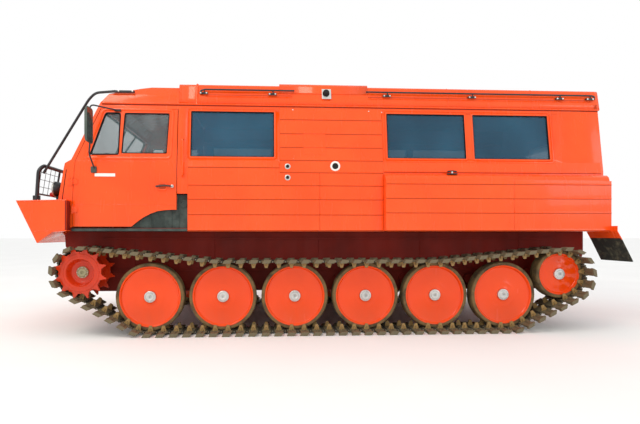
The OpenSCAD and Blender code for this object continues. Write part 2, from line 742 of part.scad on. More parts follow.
// Rear wall with its door opening
module rear_wall() {
  color(paint) for (z = rear_hinge_heights)
    translate([rear_x + 14, rear_hinge_y, z]) pin_and_lugs(hinge_l) block([-14, 3, 0], [-5, 60, lug_h]);
  color(paint) difference() {
    along_x(rear_x - wall, rear_x, full_section(0));
    block([rear_x - wall - 1, -rear_door_y - gap, rear_door_z0 - gap],
          [rear_x + 1, rear_door_y + gap, rear_door_z1 + gap]);
  }
}
module rear_door() {
  color(paint) {
    difference() {
      block([rear_x - wall, -rear_door_y, rear_door_z0], [rear_x, rear_door_y, rear_door_z1]);
      block([rear_x - wall - 1, -rear_window_y, rear_window_z0], [rear_x + 1, rear_window_y, rear_window_z1]);
      translate([rear_x - wall - 1, -rear_door_y + 70, 1700]) rotate([0, 90, 0]) cylinder(r = 9 + running, h = wall + 2);
    }
    for (z = rear_hinge_heights) translate([rear_x + 14, rear_hinge_y, z]) knuckle(hinge_l) {
      block([-13, -100, 0], [-5, -3, hinge_l]);
      block([-15, -100, 0], [-5, -16, hinge_l]);
    }
  }
}
rear_hinge_heights = [1330, 2130];
rear_hinge_y = rear_door_y + 8;
module rear_door_glass() {
  color(glass_colour) block(
    [rear_x - 22, -rear_window_y, rear_window_z0], [rear_x - 22 + glass_t, rear_window_y, rear_window_z1]);
}
module rear_door_handle() {
  color(dark) translate([rear_x, -rear_door_y + 70, 1700]) {
    translate([-wall + 6, 0, 0]) rotate([0, 90, 0]) cylinder(r = 9, h = wall + 6);
    translate([8, 0, 0]) rotate([0, 90, 0]) cylinder(r = 16, h = 24);
    block([14, 0, -10], [30, 130, 10]);
  }
}

// Rubber flaps that hang behind the tracks from folded steel brackets
flap_y0 = track_y - track_w / 2 - 10;
flap_y1 = track_y + track_w / 2 - 30;
module mudflaps() {
  both_sides() {
    color(paint) along_y(flap_y0, flap_y1, [
      [rear_x + 1, 1160], [rear_x + 9, 1160], [rear_x + 9, 1104], [rear_x + 62, 1012],
      [rear_x + 54, 1008], [rear_x + 1, 1100]]);
    color(dark) along_y(flap_y0 + 4, flap_y1 - 4, [
      [rear_x + 36, 1056 - 15], [rear_x + 46, 1056 - 9.6], [rear_x + 190, 770], [rear_x + 178, 764]]);
  }
}

// Cab fittings
module dashboard() {
  color(dark) {
    block([-2760, 110 - waist_y, 1560], [-2520, waist_y - 110, 1800]);
    bar([-2560, -640, 1640], [-2400, -640, 1800], 30);
  }
}
steer_centre = [-2390.8, -640, 1809.2];
module steering_wheel() {
  color(dark) translate(steer_centre) rotate([0, 45, 0]) {
    rotate_extrude() translate([205, 0]) circle(r = 14, $fn = 24);
    cylinder(r = 50, h = 24, center = true);
    for (a = [0, 120, 240]) rotate(a) translate([40, -16, -5]) cube([158, 32, 10]);
  }
}
module seat(x, y, w) {
  block([x, y - w / 2, body_z + floor_t], [x + 460, y + w / 2, 1470]);
  block([x + 380, y - w / 2, 1471], [x + 500, y + w / 2, 2060]);
}
module cab_seats() { color("#4d4f52") { seat(-2230, -640, 500); seat(-2230, 560, 820); } }
module passenger_benches() {
  color("#4d4f52") both_sides() {
    block([-1400, 760, body_z + floor_t], [rear_x - 220, waist_y - wall - 14, 1500]);
    block([-1400, waist_y - wall - 120, 1501], [rear_x - 220, waist_y - wall - 14, 1760]);
  }
}

// Rear tow clevis: two ears with one bore across them
clevis_z = 780;
clevis_x = rear_x + 60;
module tow_clevis() {
  color("#7a1f10") difference() {
    union() {
      block([hull_rear_x + 1, -110, clevis_z - 90], [hull_rear_x + 21, 110, clevis_z + 90]);
      both_sides() {
        block([hull_rear_x + 20, 34, clevis_z - 50], [clevis_x, 62, clevis_z + 50]);
        translate([clevis_x, 62, clevis_z]) rotate([90, 0, 0]) cylinder(r = 50, h = 28);
      }
    }
    translate([clevis_x, 0, clevis_z]) rotate([90, 0, 0]) cylinder(r = tow_bore_r, h = 200, center = true);
  }
}

hull_tub();
body_floor();
front_bumper();
brush_guard();
side_fittings();
headlamps();
deflector_stays();
cab_shell();
windscreen();
cab_door(left);  // cab_door_left
cab_door(right);  // cab_door_right
door_glass(left);  // door_glass_left
door_glass(right);  // door_glass_right
door_handle(left);  // door_handle_left
door_handle(right);  // door_handle_right
mirror_arm(left);  // mirror_arm_left
mirror_arm(right);  // mirror_arm_right
side_mirror(left);  // mirror_left
side_mirror(right);  // mirror_right
sill_liner(left);  // sill_liner_left
sill_liner(right);  // sill_liner_right
body_side(left);  // body_side_left
body_side(right);  // body_side_right
side_box(left);  // side_box_left
side_box(right);  // side_box_right
body_roof();
side_windows();
roof_hatch();
roof_rails();
rear_wall();
rear_door();
rear_door_glass();
rear_door_handle();
mudflaps();
grab_bars();
dashboard();
steering_wheel();
cab_seats();
passenger_benches();
tow_clevis();
track(left);  // track_left
track(right);  // track_right
swing_arms(left);  // swing_arms_left
swing_arms(right);  // swing_arms_right
sprocket(left);  // sprocket_left
sprocket(right);  // sprocket_right
idler(left);  // idler_left
idler(right);  // idler_right
road_wheel(1, left);  // wheel_left_1
road_wheel(2, left);  // wheel_left_2
road_wheel(3, left);  // wheel_left_3
road_wheel(4, left);  // wheel_left_4
road_wheel(5, left);  // wheel_left_5
road_wheel(6, left);  // wheel_left_6
road_wheel(1, right);  // wheel_right_1
road_wheel(2, right);  // wheel_right_2
road_wheel(3, right);  // wheel_right_3
road_wheel(4, right);  // wheel_right_4
road_wheel(5, right);  // wheel_right_5
road_wheel(6, right);  // wheel_right_6
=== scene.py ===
# %% [markdown]
# A tracked all-terrain carrier stands on a pale studio floor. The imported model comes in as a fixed
# frame of bodies and nodes. Everything made here rides on one of those bodies, so the doors, hatch,
# wheels and mirrors still move. Metres throughout, front is -X, left is -Y, up is +Z.
# %% Load the frame
import math

import bmesh
import bpy
from mathutils import Matrix, Vector


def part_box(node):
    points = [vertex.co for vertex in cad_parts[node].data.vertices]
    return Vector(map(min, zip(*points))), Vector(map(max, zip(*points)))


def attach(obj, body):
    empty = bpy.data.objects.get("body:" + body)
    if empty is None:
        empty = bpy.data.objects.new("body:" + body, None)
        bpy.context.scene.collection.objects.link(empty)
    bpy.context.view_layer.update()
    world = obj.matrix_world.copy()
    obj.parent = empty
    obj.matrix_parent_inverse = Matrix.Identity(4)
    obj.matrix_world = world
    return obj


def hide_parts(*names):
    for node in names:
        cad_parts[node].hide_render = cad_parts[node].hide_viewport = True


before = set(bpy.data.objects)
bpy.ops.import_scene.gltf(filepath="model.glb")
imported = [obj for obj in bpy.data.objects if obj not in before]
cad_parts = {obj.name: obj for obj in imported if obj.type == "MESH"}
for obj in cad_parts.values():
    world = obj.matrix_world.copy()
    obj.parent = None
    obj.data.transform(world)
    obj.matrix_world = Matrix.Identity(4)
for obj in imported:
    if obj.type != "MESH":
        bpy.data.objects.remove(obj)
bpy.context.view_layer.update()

# %% [markdown]
# Sizes come from the frame wherever it has them: a node's box gives the walls, the gutter and the
# roof. The three heights and thicknesses named below lie inside a node, so its box can't show them.
# %% Sizes read from the frame
MM = 0.001
side_low, side_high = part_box("body_side_right")
box_low, box_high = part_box("side_box_right")
bumper_low, bumper_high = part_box("front_bumper")
body_low_z, gutter_z, waist_y = side_low.z, side_high.z, side_high.y
WAIST_UP = 680 * MM
WALL = 40 * MM
SKIN_BELOW_TOP = 26 * MM
waist_z = body_low_z + WAIST_UP
gutter_y = side_low.y + WALL
roof_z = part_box("body_roof")[1].z - SKIN_BELOW_TOP
cab_rear_x, rear_x = side_low.x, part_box("rear_wall")[1].x
SIDES = (("left", -1), ("right", 1))
print("waist", round(waist_y, 3), "gutter", round(gutter_y, 3), round(gutter_z, 3))

# %% [markdown]
# Paint charts give colours as sRGB hex values, but shaders work with linear light. One function turns
# one into the other, so that every colour in the file can be compared with a chart.
# %% Colours and nodes
def srgb(code):
    """A linear RGBA colour from a hex sRGB value."""
    parts = [int(code[i:i + 2], 16) / 255 for i in (1, 3, 5)]
    return [c / 12.92 if c <= 0.04045 else ((c + 0.055) / 1.055) ** 2.4 for c in parts] + [1.0]


def add(tree, kind, settings=None, **inputs):
    """Adds a node. Settings are its own properties; an input is a value or another node's socket."""
    node = tree.nodes.new("ShaderNode" + kind)
    for name, value in (settings or {}).items():
        setattr(node, name, value)
    for name, value in inputs.items():
        key = int(name[1:]) if name[0] == "i" and name[1:].isdigit() else name.replace("_", " ")
        if isinstance(value, bpy.types.NodeSocket):
            tree.links.new(value, node.inputs[key])
        else:
            node.inputs[key].default_value = value
    return node


def new_material(name, **shader):
    """A material with its Principled shader; returns the tree, the shader and object coordinates."""
    material = bpy.data.materials.new(name)
    material.use_nodes = True
    tree = material.node_tree
    principled = tree.nodes["Principled BSDF"]
    for key, value in shader.items():
        principled.inputs[key.replace("_", " ")].default_value = value
    place = tree.nodes.new("ShaderNodeTexCoord").outputs["Object"]
    return material, tree, principled, place


def ramp(tree, factor, stops):
    """A colour ramp between stops of (position, hex colour)."""
    node = add(tree, "ValToRGB", Fac=factor)
    while len(node.color_ramp.elements) < len(stops):
        node.color_ramp.elements.new(0.5)
    for element, (position, colour) in zip(node.color_ramp.elements, stops):
        element.position, element.color = position, srgb(colour)
    return node.outputs["Color"]


def noise(tree, place, scale, detail, **more):
    """The factor of a noise texture."""
    return add(tree, "TexNoise", Vector=place, Scale=scale, Detail=detail, **more).outputs["Fac"]


def bump(tree, principled, height, strength, distance):
    node = add(tree, "Bump", Height=height, Strength=strength, Distance=distance)
    tree.links.new(node.outputs["Normal"], principled.inputs["Normal"])


def link(tree, socket, principled, name):
    tree.links.new(socket, principled.inputs[name])


# %% [markdown]
# The whole vehicle is brushed and sprayed in one alkyd enamel, a thick oil-based gloss paint. It gives
# the eye a saturated orange with a soft wet highlight, faint waves where the sheet steel was beaten,
# slight fading in large patches and dust that settles towards the lower edge. The peel of the paint is
# about 3 mm wide, too fine to show from here, so it is drawn at 25 mm as a gentle ripple.
# %% Enamel paints
def enamel(name, bright, faded, dust_top, dust_share=0.1, rough=0.2, coat=0.3):
    material, tree, shader, place = new_material(name, Roughness=rough, Metallic=0.0, Coat_Weight=coat,
        Coat_Roughness=0.05)
    shader.inputs["Specular IOR Level"].default_value = 0.3
    patches = noise(tree, place, 1.7, 4.0, Roughness=0.6)
    paint = ramp(tree, patches, [(0.35, bright), (0.72, faded)])
    split = add(tree, "SeparateXYZ", Vector=place)
    height = add(tree, "MapRange", Value=split.outputs["Z"], From_Min=dust_top,
        From_Max=dust_top - 0.55, To_Min=0.0, To_Max=dust_share)
    streak = add(tree, "Mapping", {"vector_type": "POINT"}, Vector=place, Scale=(9.0, 9.0, 1.6))
    cloud = noise(tree, streak.outputs["Vector"], 1.4, 7.0)
    cover = add(tree, "Math", {"operation": "MULTIPLY"}, i0=height.outputs["Result"], i1=cloud)
    dusty = add(tree, "Mix", {"data_type": "RGBA"}, i0=cover.outputs["Value"], i6=paint,
        i7=srgb("#A98A6A"))
    link(tree, dusty.outputs[2], shader, "Base Color")
    gloss = add(tree, "MapRange", Value=cloud, From_Min=0.3, From_Max=0.75, To_Min=rough - 0.05,
        To_Max=rough + 0.14)
    link(tree, gloss.outputs["Result"], shader, "Roughness")
    peel = noise(tree, place, 1 / (25 * MM), 2.0)
    wave = noise(tree, place, 3.2, 1.0)
    both = add(tree, "Math", {"operation": "MULTIPLY_ADD"}, i0=wave, i1=9.0, i2=peel)
    bump(tree, shader, both.outputs["Value"], 0.22, 1.2 * MM)
    return material


orange_enamel = enamel("Orange_alkyd_enamel", "#F94E06", "#FD5814", 1.45)
door_enamel = enamel("Orange_door_enamel", "#F84C05", "#FC5510", 1.45)
wheel_enamel = enamel("Wheel_disc_enamel", "#F84C04", "#F04606", 0.35, 0.35, 0.16)
sprocket_enamel = enamel("Sprocket_enamel", "#DE3A0C", "#B92C0A", 0.55, 0.4, 0.22)
# Painted shade: this red-brown stands for the orange enamel in shade under the body. It also paints the
# bumper's rear face and the line under the gutter.
painted_shade_red_brown_enamel = enamel("Painted_shade_red_brown_enamel", "#8E1C0A", "#701506", 0.9, 0.06, 0.6, 0.0)
# Painted shade: a darker orange for the shade under plank lips, at plank ends, in the handle recess and
# under the roof rails.
painted_shade_orange_enamel = enamel("Shaded_seam_enamel", "#C8400C", "#B8380A", 0.5, 0.1, 0.5, 0.0)

# %% [markdown]
# Float glass is poured flat and lightly tinted in the melt. Thin panes barely bend light, so they are
# made see-through with alpha instead of transmission. They still mirror the sky at an IOR of 1.45, and
# the cool tint sits in the base colour.
# %% Glass
def glass(name, tint, paler, alpha):
    material, tree, shader, place = new_material(name, Roughness=0.03, IOR=1.45,
        Transmission_Weight=0.0, Alpha=alpha)
    waves = noise(tree, place, 1.6, 2.0)
    link(tree, ramp(tree, waves, [(0.3, tint), (0.8, paler)]), shader, "Base Color")
    bump(tree, shader, waves, 0.03, 0.6 * MM)
    return material


window_glass = glass("Tinted_float_glass", "#1C4860", "#2C6480", 0.6)
cab_glass = glass("Laminated_screen_glass", "#5C747A", "#74898C", 0.3)


# %% [markdown]
# Rubber is soft carbon-black compound moulded in steel dies. Tyres here are coated in dry clay, so the
# brown dust decides the colour and the rubber shows only where it has rubbed off. Flaps and seals stay
# dark and matt.
# %% Rubbers
def rubber(name, clean, dust, share, grain_mm):
    material, tree, shader, place = new_material(name, Roughness=0.8)
    shader.inputs["Specular IOR Level"].default_value = 0.3
    blotch = noise(tree, place, 9.0, 8.0, Roughness=0.65)
    link(tree, ramp(tree, blotch, [(share, clean), (share + 0.22, dust)]), shader, "Base Color")
    grain = noise(tree, place, 1 / (grain_mm * MM), 3.0)
    bump(tree, shader, grain, 0.5, 1.5 * MM)
    return material


tyre_rubber = rubber("Dusty_tyre_rubber", "#4A3F2E", "#7B6440", 0.36, 14)
flap_rubber = rubber("Mudflap_rubber", "#2B2C26", "#6F6A54", 0.5, 20)
seal_rubber = rubber("Window_seal_rubber", "#0E0F10", "#232526", 0.55, 8)
liner_rubber = rubber("Grey_green_arch_liner", "#39423F", "#525D58", 0.42, 18)


# %% [markdown]
# Track links are cast from manganese steel and never painted. Casting leaves a grainy skin; soil and
# flash rust give khaki and brown, and the faces that rub on stones wear to bare grey metal.
# %% Bare metals
def cast_steel(name, dark, light, worn, metallic, rough):
    material, tree, shader, place = new_material(name, Metallic=metallic, Roughness=rough)
    soil = noise(tree, place, 11.0, 9.0, Roughness=0.7)
    base = ramp(tree, soil, [(0.32, dark), (0.62, light)])
    edge = add(tree, "NewGeometry")
    wear = add(tree, "MapRange", Value=edge.outputs["Pointiness"], From_Min=0.51, From_Max=0.58)
    mixed = add(tree, "Mix", {"data_type": "RGBA"}, i0=wear.outputs["Result"], i6=base, i7=srgb(worn))
    link(tree, mixed.outputs[2], shader, "Base Color")
    skin = noise(tree, place, 1 / (9 * MM), 4.0)
    bump(tree, shader, skin, 0.45, 1.6 * MM)
    return material


link_steel = cast_steel("Dusty_cast_link_steel", "#14110B", "#40382A", "#6E644C", 0.15, 0.66)
horn_steel = cast_steel("Rubbed_horn_steel", "#3A2D1A", "#84663A", "#A88752", 0.25, 0.55)
pin_steel = cast_steel("Oily_pin_steel", "#23211D", "#4A4438", "#8B8577", 0.6, 0.45)
zinc_cap = cast_steel("Zinc_plated_cap", "#A9ABA8", "#D2D3CF", "#E8E8E4", 0.75, 0.34)
green_cap = cast_steel("Grey_green_cap", "#6D6A4C", "#9A9672", "#BDB892", 0.4, 0.45)
bolt_steel = cast_steel("Galvanised_bolt", "#8F918E", "#C3C5C1", "#DADBD6", 0.8, 0.35)


# %% [markdown]
# Tubes and mirror shells are coated black. Powder coating on steel tube gives a satin sheen with a
# fine texture, and moulded ABS gives the mirror shells and cab fittings a leather-like grain.
# %% Coatings and plastics
def moulded(name, colour, lighter, rough, grain_mm, metallic=0.0):
    material, tree, shader, place = new_material(name, Roughness=rough, Metallic=metallic)
    tone = noise(tree, place, 5.0, 5.0)
    link(tree, ramp(tree, tone, [(0.35, colour), (0.75, lighter)]), shader, "Base Color")
    grain = add(tree, "TexVoronoi", Vector=place, Scale=1 / (grain_mm * MM))
    bump(tree, shader, grain.outputs["Distance"], 0.2, 0.8 * MM)
    return material


black_coat = moulded("Black_powder_coat", "#15181B", "#2A2F33", 0.38, 6)
mirror_abs = moulded("Grey_green_ABS", "#3C4640", "#4E5A52", 0.5, 8)
cab_abs = moulded("Black_grained_ABS", "#17181A", "#26282A", 0.6, 10)
reflector = moulded("White_marker_plastic", "#F4EEE6", "#FFFFFF", 0.25, 12)
red_lens = moulded("Red_lens_acrylic", "#B01010", "#E02418", 0.12, 14)
amber_lens = moulded("Amber_lens_acrylic", "#E8790A", "#FFA52A", 0.12, 14)
# Painted shade: near-black for the shade inside openings, used for the louvre slots, the discs inside
# the sleeves, the duct and the roof vent's cowl.
opening_shade_black = moulded("Opening_shade_black", "#0A0A0A", "#1A1512", 0.8, 10)


# %% [markdown]
# Seats are covered in a plain-weave wool blend over foam. The real thread is under a millimetre; drawn
# at 9 mm it still reads as cloth through the windows. Sheen gives the fuzz of the wool.
# %% Seat cloth
WAVE_FACTOR = 6.28  # at this factor one full wave is about two threads, one over and one under


def woven(name, warp, weft, thread_mm):
    material, tree, shader, place = new_material(name, Roughness=0.85, Sheen_Weight=0.4)
    scale = 1 / (thread_mm * MM * WAVE_FACTOR)
    across = add(tree, "TexWave", {"bands_direction": "X"}, Vector=place, Scale=scale)
    along = add(tree, "TexWave", {"bands_direction": "Z"}, Vector=place, Scale=scale)
    weave = add(tree, "Math", {"operation": "MULTIPLY"}, i0=across.outputs["Fac"],
        i1=along.outputs["Fac"])
    link(tree, ramp(tree, weave.outputs["Value"], [(0.1, warp), (0.8, weft)]), shader, "Base Color")
    bump(tree, shader, weave.outputs["Value"], 0.4, 1.0 * MM)
    return material


seat_cloth = woven("Grey_wool_seat_cloth", "#33373B", "#5A6066", 9)

# %% [markdown]
# Most pieces share a few ways of being made. A lathe turns a profile about an axle. A tube is a curve
# with a round bevel and bent corners. A refined panel is a copy of the CAD shape, with its flat faces
# joined up and its folded edges rounded the way pressed sheet steel is.
# %% Mesh helpers
def link_object(name, data, material):
    piece = bpy.data.objects.new(name, data)
    bpy.context.scene.collection.objects.link(piece)
    for m in material if isinstance(material, (list, tuple)) else [material]:
        data.materials.append(m)
    return piece


def place_piece(piece, body, slot, *stands_for):
    """Puts a piece on the body it moves with and hides the CAD nodes it stands for. Slot is not used.
    """
    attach(piece, body)
    if stands_for:
        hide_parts(*stands_for)
    return piece


def from_bmesh(name, mesh, material, angle=35):
    data = bpy.data.meshes.new(name)
    bmesh.ops.recalc_face_normals(mesh, faces=mesh.faces)
    mesh.to_mesh(data)
    mesh.free()
    piece = link_object(name, data, material)
    data.shade_smooth()
    data.set_sharp_from_angle(angle=math.radians(angle))
    return piece


def bevelled(piece, width, segments=3, angle=30):
    change = piece.modifiers.new("Edges", "BEVEL")
    change.width, change.segments = width, segments
    change.limit_method, change.angle_limit = "ANGLE", math.radians(angle)
    change.harden_normals = False
    return piece


def refined(name, node, width, material, segments=3, angle=25, smooth=40):
    """A copy of a CAD node with flat faces made whole and its edges rounded."""
    mesh = bmesh.new()
    mesh.from_mesh(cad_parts[node].data)
    bmesh.ops.remove_doubles(mesh, verts=mesh.verts, dist=0.02 * MM)
    bmesh.ops.dissolve_limit(mesh, angle_limit=math.radians(0.6), verts=mesh.verts, edges=mesh.edges)
    return bevelled(from_bmesh(name, mesh, material, smooth), width, segments, angle)


def opened(piece, blocks):
    """Cuts openings through a piece and clears the cutting blocks away."""
    for block in blocks:
        cut = piece.modifiers.new("Opening", "BOOLEAN")
        cut.object, cut.solver = block, "EXACT"
    bpy.context.view_layer.update()
    ready = piece.evaluated_get(bpy.context.evaluated_depsgraph_get())
    mesh = bpy.data.meshes.new_from_object(ready)
    piece.modifiers.clear()
    piece.data = mesh
    for block in blocks:
        bpy.data.objects.remove(block)
    return piece


def lathe(name, profile, centre, material, axis="Y", steps=96, closed=False):
    """Turns (radius, along) points about an axle through centre. Axis may be X, Y or Z."""
    mesh = bmesh.new()
    rings = []
    for i in range(steps):
        a = 2 * math.pi * i / steps
        rings.append([mesh.verts.new(axle_point(axis, r, t, a) + Vector(centre)) for r, t in profile])
    count = len(profile)
    for i in range(steps):
        here, there = rings[i], rings[(i + 1) % steps]
        for k in range(count if closed else count - 1):
            mesh.faces.new((here[k], here[(k + 1) % count], there[(k + 1) % count], there[k]))
    bmesh.ops.remove_doubles(mesh, verts=mesh.verts, dist=0.01 * MM)
    return from_bmesh(name, mesh, material)


def axle_point(axis, r, t, a):
    if axis == "Y":
        return Vector((r * math.cos(a), t, r * math.sin(a)))
    if axis == "X":
        return Vector((t, r * math.cos(a), r * math.sin(a)))
    return Vector((r * math.cos(a), r * math.sin(a), t))


def fillet(points, radius, steps=5, closed=False):
    """Rounds the corners of a run of points."""
    points = [Vector(p) for p in points]
    count, out = len(points), []
    for i, p in enumerate(points):
        if not closed and i in (0, count - 1):
            out.append(p)
            continue
        before, after = points[i - 1] - p, points[(i + 1) % count] - p
        reach = min(radius, before.length * 0.45, after.length * 0.45)
        a, b = p + before.normalized() * reach, p + after.normalized() * reach
        for k in range(steps + 1):
            t = k / steps
            out.append(a * (1 - t) ** 2 + p * 2 * t * (1 - t) + b * t ** 2)
    return out


def tube(name, points, radius, material, bend=0.06, closed=False):
    """A bent round bar along points, in metres."""
    curve = bpy.data.curves.new(name, "CURVE")
    curve.dimensions, curve.bevel_depth, curve.bevel_resolution = "3D", radius, 4
    curve.use_fill_caps = not closed
    run = fillet(points, bend, closed=closed)
    spline = curve.splines.new("POLY")
    spline.points.add(len(run) - 1)
    for place, p in zip(spline.points, run):
        place.co = (*p, 1.0)
    spline.use_cyclic_u = closed
    return link_object(name, curve, material)


def slab(name, low, high, material, width=2 * MM, segments=2):
    """A block between two corners with rounded edges."""
    low, high = Vector(low), Vector(high)
    mesh = bmesh.new()
    bmesh.ops.create_cube(mesh, size=1.0)
    for v in mesh.verts:
        v.co = (low + high) / 2 + Vector([v.co[i] * abs(high[i] - low[i]) for i in range(3)])
    return bevelled(from_bmesh(name, mesh, material), width, segments)


def joined(name, pieces):
    """Joins pieces of the same make into one object."""
    depsgraph = bpy.context.evaluated_depsgraph_get()
    mesh = bmesh.new()
    materials = []
    for piece in pieces:
        data = bpy.data.meshes.new_from_object(piece.evaluated_get(depsgraph))
        data.transform(piece.matrix_world)
        start = len(mesh.faces)
        mesh.from_mesh(data)
        mesh.faces.ensure_lookup_table()
        names = list(data.materials)
        for face in mesh.faces[start:]:
            m = names[face.material_index] if names else None
            if m not in materials:
                materials.append(m)
            face.material_index = materials.index(m)
        bpy.data.meshes.remove(data)
    for piece in pieces:
        bpy.data.objects.remove(piece)
    data = bpy.data.meshes.new(name)
    mesh.to_mesh(data)
    mesh.free()
    return link_object(name, data, materials)


def fit(name, pieces, body, slot, *stands_for):
    """Joins pieces into one and places it on its body."""
    return place_piece(joined(name, pieces), body, slot, *stands_for)


def dress(name, node, width, material, body, slot, **shape):
    """Puts a refined copy of a CAD node in that node's stead."""
    place_piece(refined(name, node, width, material, **shape), body, slot, node)


def ladder(mesh, a, b, closed=True):
    """Faces between two rows of vertices of the same length."""
    for i in range(len(a) if closed else len(a) - 1):
        j = (i + 1) % len(a)
        mesh.faces.new((a[i], a[j], b[j], b[i]))


# %% [markdown]
# The body's sides stand upright to the waist and then lean in to the gutter. Windows, frames, planks
# and fittings all lie on that surface, so one function finds a point on it from a distance along the
# body and a height, and lifts it out along the skin's own normal.
# %% Points on the body's side
LEAN = Vector((0, gutter_z - waist_z, waist_y - gutter_y)).normalized()


def on_wall(x, z, lift=0.0, s=-1, plane=None):
    if plane is not None:
        return Vector((x, s * (plane + lift), z))
    if z <= waist_z:
        return Vector((x, s * (waist_y + lift), z))
    share = (z - waist_z) / (gutter_z - waist_z)
    y = waist_y + share * (gutter_y - waist_y)
    return Vector((x, s * (y + lift * LEAN.y), z + lift * LEAN.z))


def grown(outline, width):
    """A convex outline moved outwards by width."""
    points = [Vector(p) for p in outline]
    centre = sum(points, Vector((0, 0))) / len(points)
    out = []
    for i, p in enumerate(points):
        sides = []
        for a, b in ((points[i - 1], p), (p, points[(i + 1) % len(points)])):
            normal = Vector((b.y - a.y, a.x - b.x)).normalized()
            if normal.dot(p - centre) < 0:
                normal = -normal
            sides.append(normal)
        both = sides[0] + sides[1]
        out.append(p + both * (width / (both.dot(sides[0]))))
    return out


def wall_loop(outline, radius, steps=5):
    return fillet([(p[0], p[1], 0) for p in outline], radius, steps, closed=True)


def wall_ring(name, outline, profile, radius, material, s=-1, plane=None):
    """A moulding round an outline on the side. Profile points are (outwards in plane, lift)."""
    mesh = bmesh.new()
    loops = []
    for offset, lift in profile:
        loop = wall_loop(grown(outline, offset), max(radius + offset, 2 * MM))
        loops.append([mesh.verts.new(on_wall(p.x, p.y, lift, s, plane)) for p in loop])
    for k in range(len(loops)):
        ladder(mesh, loops[k], loops[(k + 1) % len(loops)])
    return from_bmesh(name, mesh, material)


def wall_pane(name, outline, lift, thick, radius, material, s=-1, plane=None):
    """A flat plate with rounded corners that lies on the side."""
    mesh = bmesh.new()
    loop = wall_loop(outline, radius)
    outer = [mesh.verts.new(on_wall(p.x, p.y, lift, s, plane)) for p in loop]
    inner = [mesh.verts.new(on_wall(p.x, p.y, lift - thick, s, plane)) for p in loop]
    mesh.faces.new(outer)
    mesh.faces.new(inner)
    ladder(mesh, outer, inner)
    return from_bmesh(name, mesh, material)


def rectangle(x0, x1, z0, z1):
    return [(x0, z0), (x1, z0), (x1, z1), (x0, z1)]


def screws(name, places, radius, lift, material, s=-1, plane=None):
    """Round-headed screws or rivets at (x, z) places on the side."""
    mesh = bmesh.new()
    for x, z in places:
        head = bmesh.ops.create_uvsphere(mesh, u_segments=10, v_segments=6, radius=radius)
        centre = on_wall(x, z, lift, s, plane)
        for v in head["verts"]:
            v.co = centre + Vector((v.co.x, v.co.y * 0.45, v.co.z))
    return from_bmesh(name, mesh, material)


# %% [markdown]
# Each road wheel is a pair of pressed discs welded into a rim, with a solid rubber tyre vulcanised to
# the rim. All of it is round about one axle, so it is turned on the lathe from a few profile points.
# The zinc cap keeps grease in the hub and has a filler hole in the middle.
# %% Road wheels and idlers
track_y = (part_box("track_right")[0].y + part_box("track_right")[1].y) / 2
CAP_BOLT_RING = 48 * MM


def mm_points(points, s=1):
    """Lathe profile points given in millimetres, with the outer face on side s."""
    return [(r * MM, s * t * MM) for r, t in points]


def bolt_circle(profile, centre, radius, count, start, material, s):
    """Bolt heads in a circle about an axle that runs along Y."""
    heads = []
    for i in range(count):
        a = start + 2 * math.pi * i / count
        at = (centre[0] + radius * math.cos(a), centre[1], centre[2] + radius * math.sin(a))
        heads.append(lathe("bolt", mm_points(profile, s), at, material, steps=6))
    return heads


def make_wheel(node, s):
    low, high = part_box(node)
    radius = (high.x - low.x) / 2 / MM
    centre = ((low.x + high.x) / 2, s * track_y, (low.z + high.z) / 2)
    rim, body = radius - 36, node + "_body"
    tyre = lathe(node + "_tyre", mm_points([(rim, -69), (radius - 22, -74), (radius - 8, -72),
        (radius - 1, -64), (radius, -54), (radius, -8), (radius - 4, -5), (radius - 4, 5), (radius, 8),
        (radius, 54), (radius - 1, 64), (radius - 8, 72), (radius - 22, 74), (rim, 69)], s), centre,
        tyre_rubber, closed=True)
    place_piece(tyre, body, "flap_rubber", node)
    disc = lathe(node + "_disc", mm_points([(34, 57), (66, 57.5), (70, 60), (74, 57.5), (120, 57),
        (140, 54), (158, 48), (rim - 40, 45), (rim - 26, 46), (rim - 19, 52), (rim - 15, 66),
        (rim - 11, 71), (rim - 4, 72), (rim, 68), (rim, -68), (rim - 4, -72), (rim - 22, -70),
        (rim - 32, -66), (rim - 60, -58), (150, -52), (110, -64), (34, -66)], s), centre, wheel_enamel)
    place_piece(disc, body, "wheel_paint")
    cap = lathe(node + "_cap", mm_points([(62, 57), (62, 71), (60, 76), (55, 79), (42, 80), (39, 83),
        (24, 84), (21, 82), (12, 81), (9, 77), (7, 70), (0, 69)], s), centre, zinc_cap, steps=48)
    bolts = bolt_circle([(6, 79), (6, 83.5), (4, 85), (0, 85)], centre, CAP_BOLT_RING, 6, math.pi / 6,
        bolt_steel, s)
    fit(node + "_hub_cap", [cap, *bolts], body, "zinc")


wheel_nodes = [f"wheel_{side}_{i}" for side, _ in SIDES for i in range(1, 7)]
for name in wheel_nodes + ["idler_left", "idler_right"]:
    make_wheel(name, -1 if "left" in name else 1)
print("wheels turned:", len(wheel_nodes) + 2)

# %% [markdown]
# The drive sprocket is two toothed rings bolted to a dished drum. Teeth are wider at the root than at
# the tip so that a link can roll off them, and each ring is a plate with twelve bolts close to the
# teeth. The tooth angles are read off the CAD shape so that they still sit in the gaps of the track.
# %% Drive sprockets
TEETH = 12
RING_GAP = 300 * MM
RING_THICK = 24 * MM
RING_BORE = 168 * MM
RING_BOLT_RING = 213 * MM
HUB_BOLT_RING = 52 * MM
TIP_ABOVE_PITCH = 24 * MM
PITCH_ABOVE_ROOT = 31 * MM


def tooth_angle(node, centre):
    """The angle of the first tooth: the direction of the vertex farthest from the axle."""
    far = [v.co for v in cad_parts[node].data.vertices]
    tip = max(math.hypot(v.x - centre[0], v.z - centre[2]) for v in far)
    tips = [math.atan2(v.z - centre[2], v.x - centre[0]) for v in far
        if math.hypot(v.x - centre[0], v.z - centre[2]) > tip - 0.2 * MM]
    step = 2 * math.pi / TEETH
    turns = [a % step for a in tips]
    wrapped = [a - step if a - turns[0] > step / 2 else a + step if turns[0] - a > step / 2 else a
        for a in turns]
    return sum(wrapped) / len(wrapped)


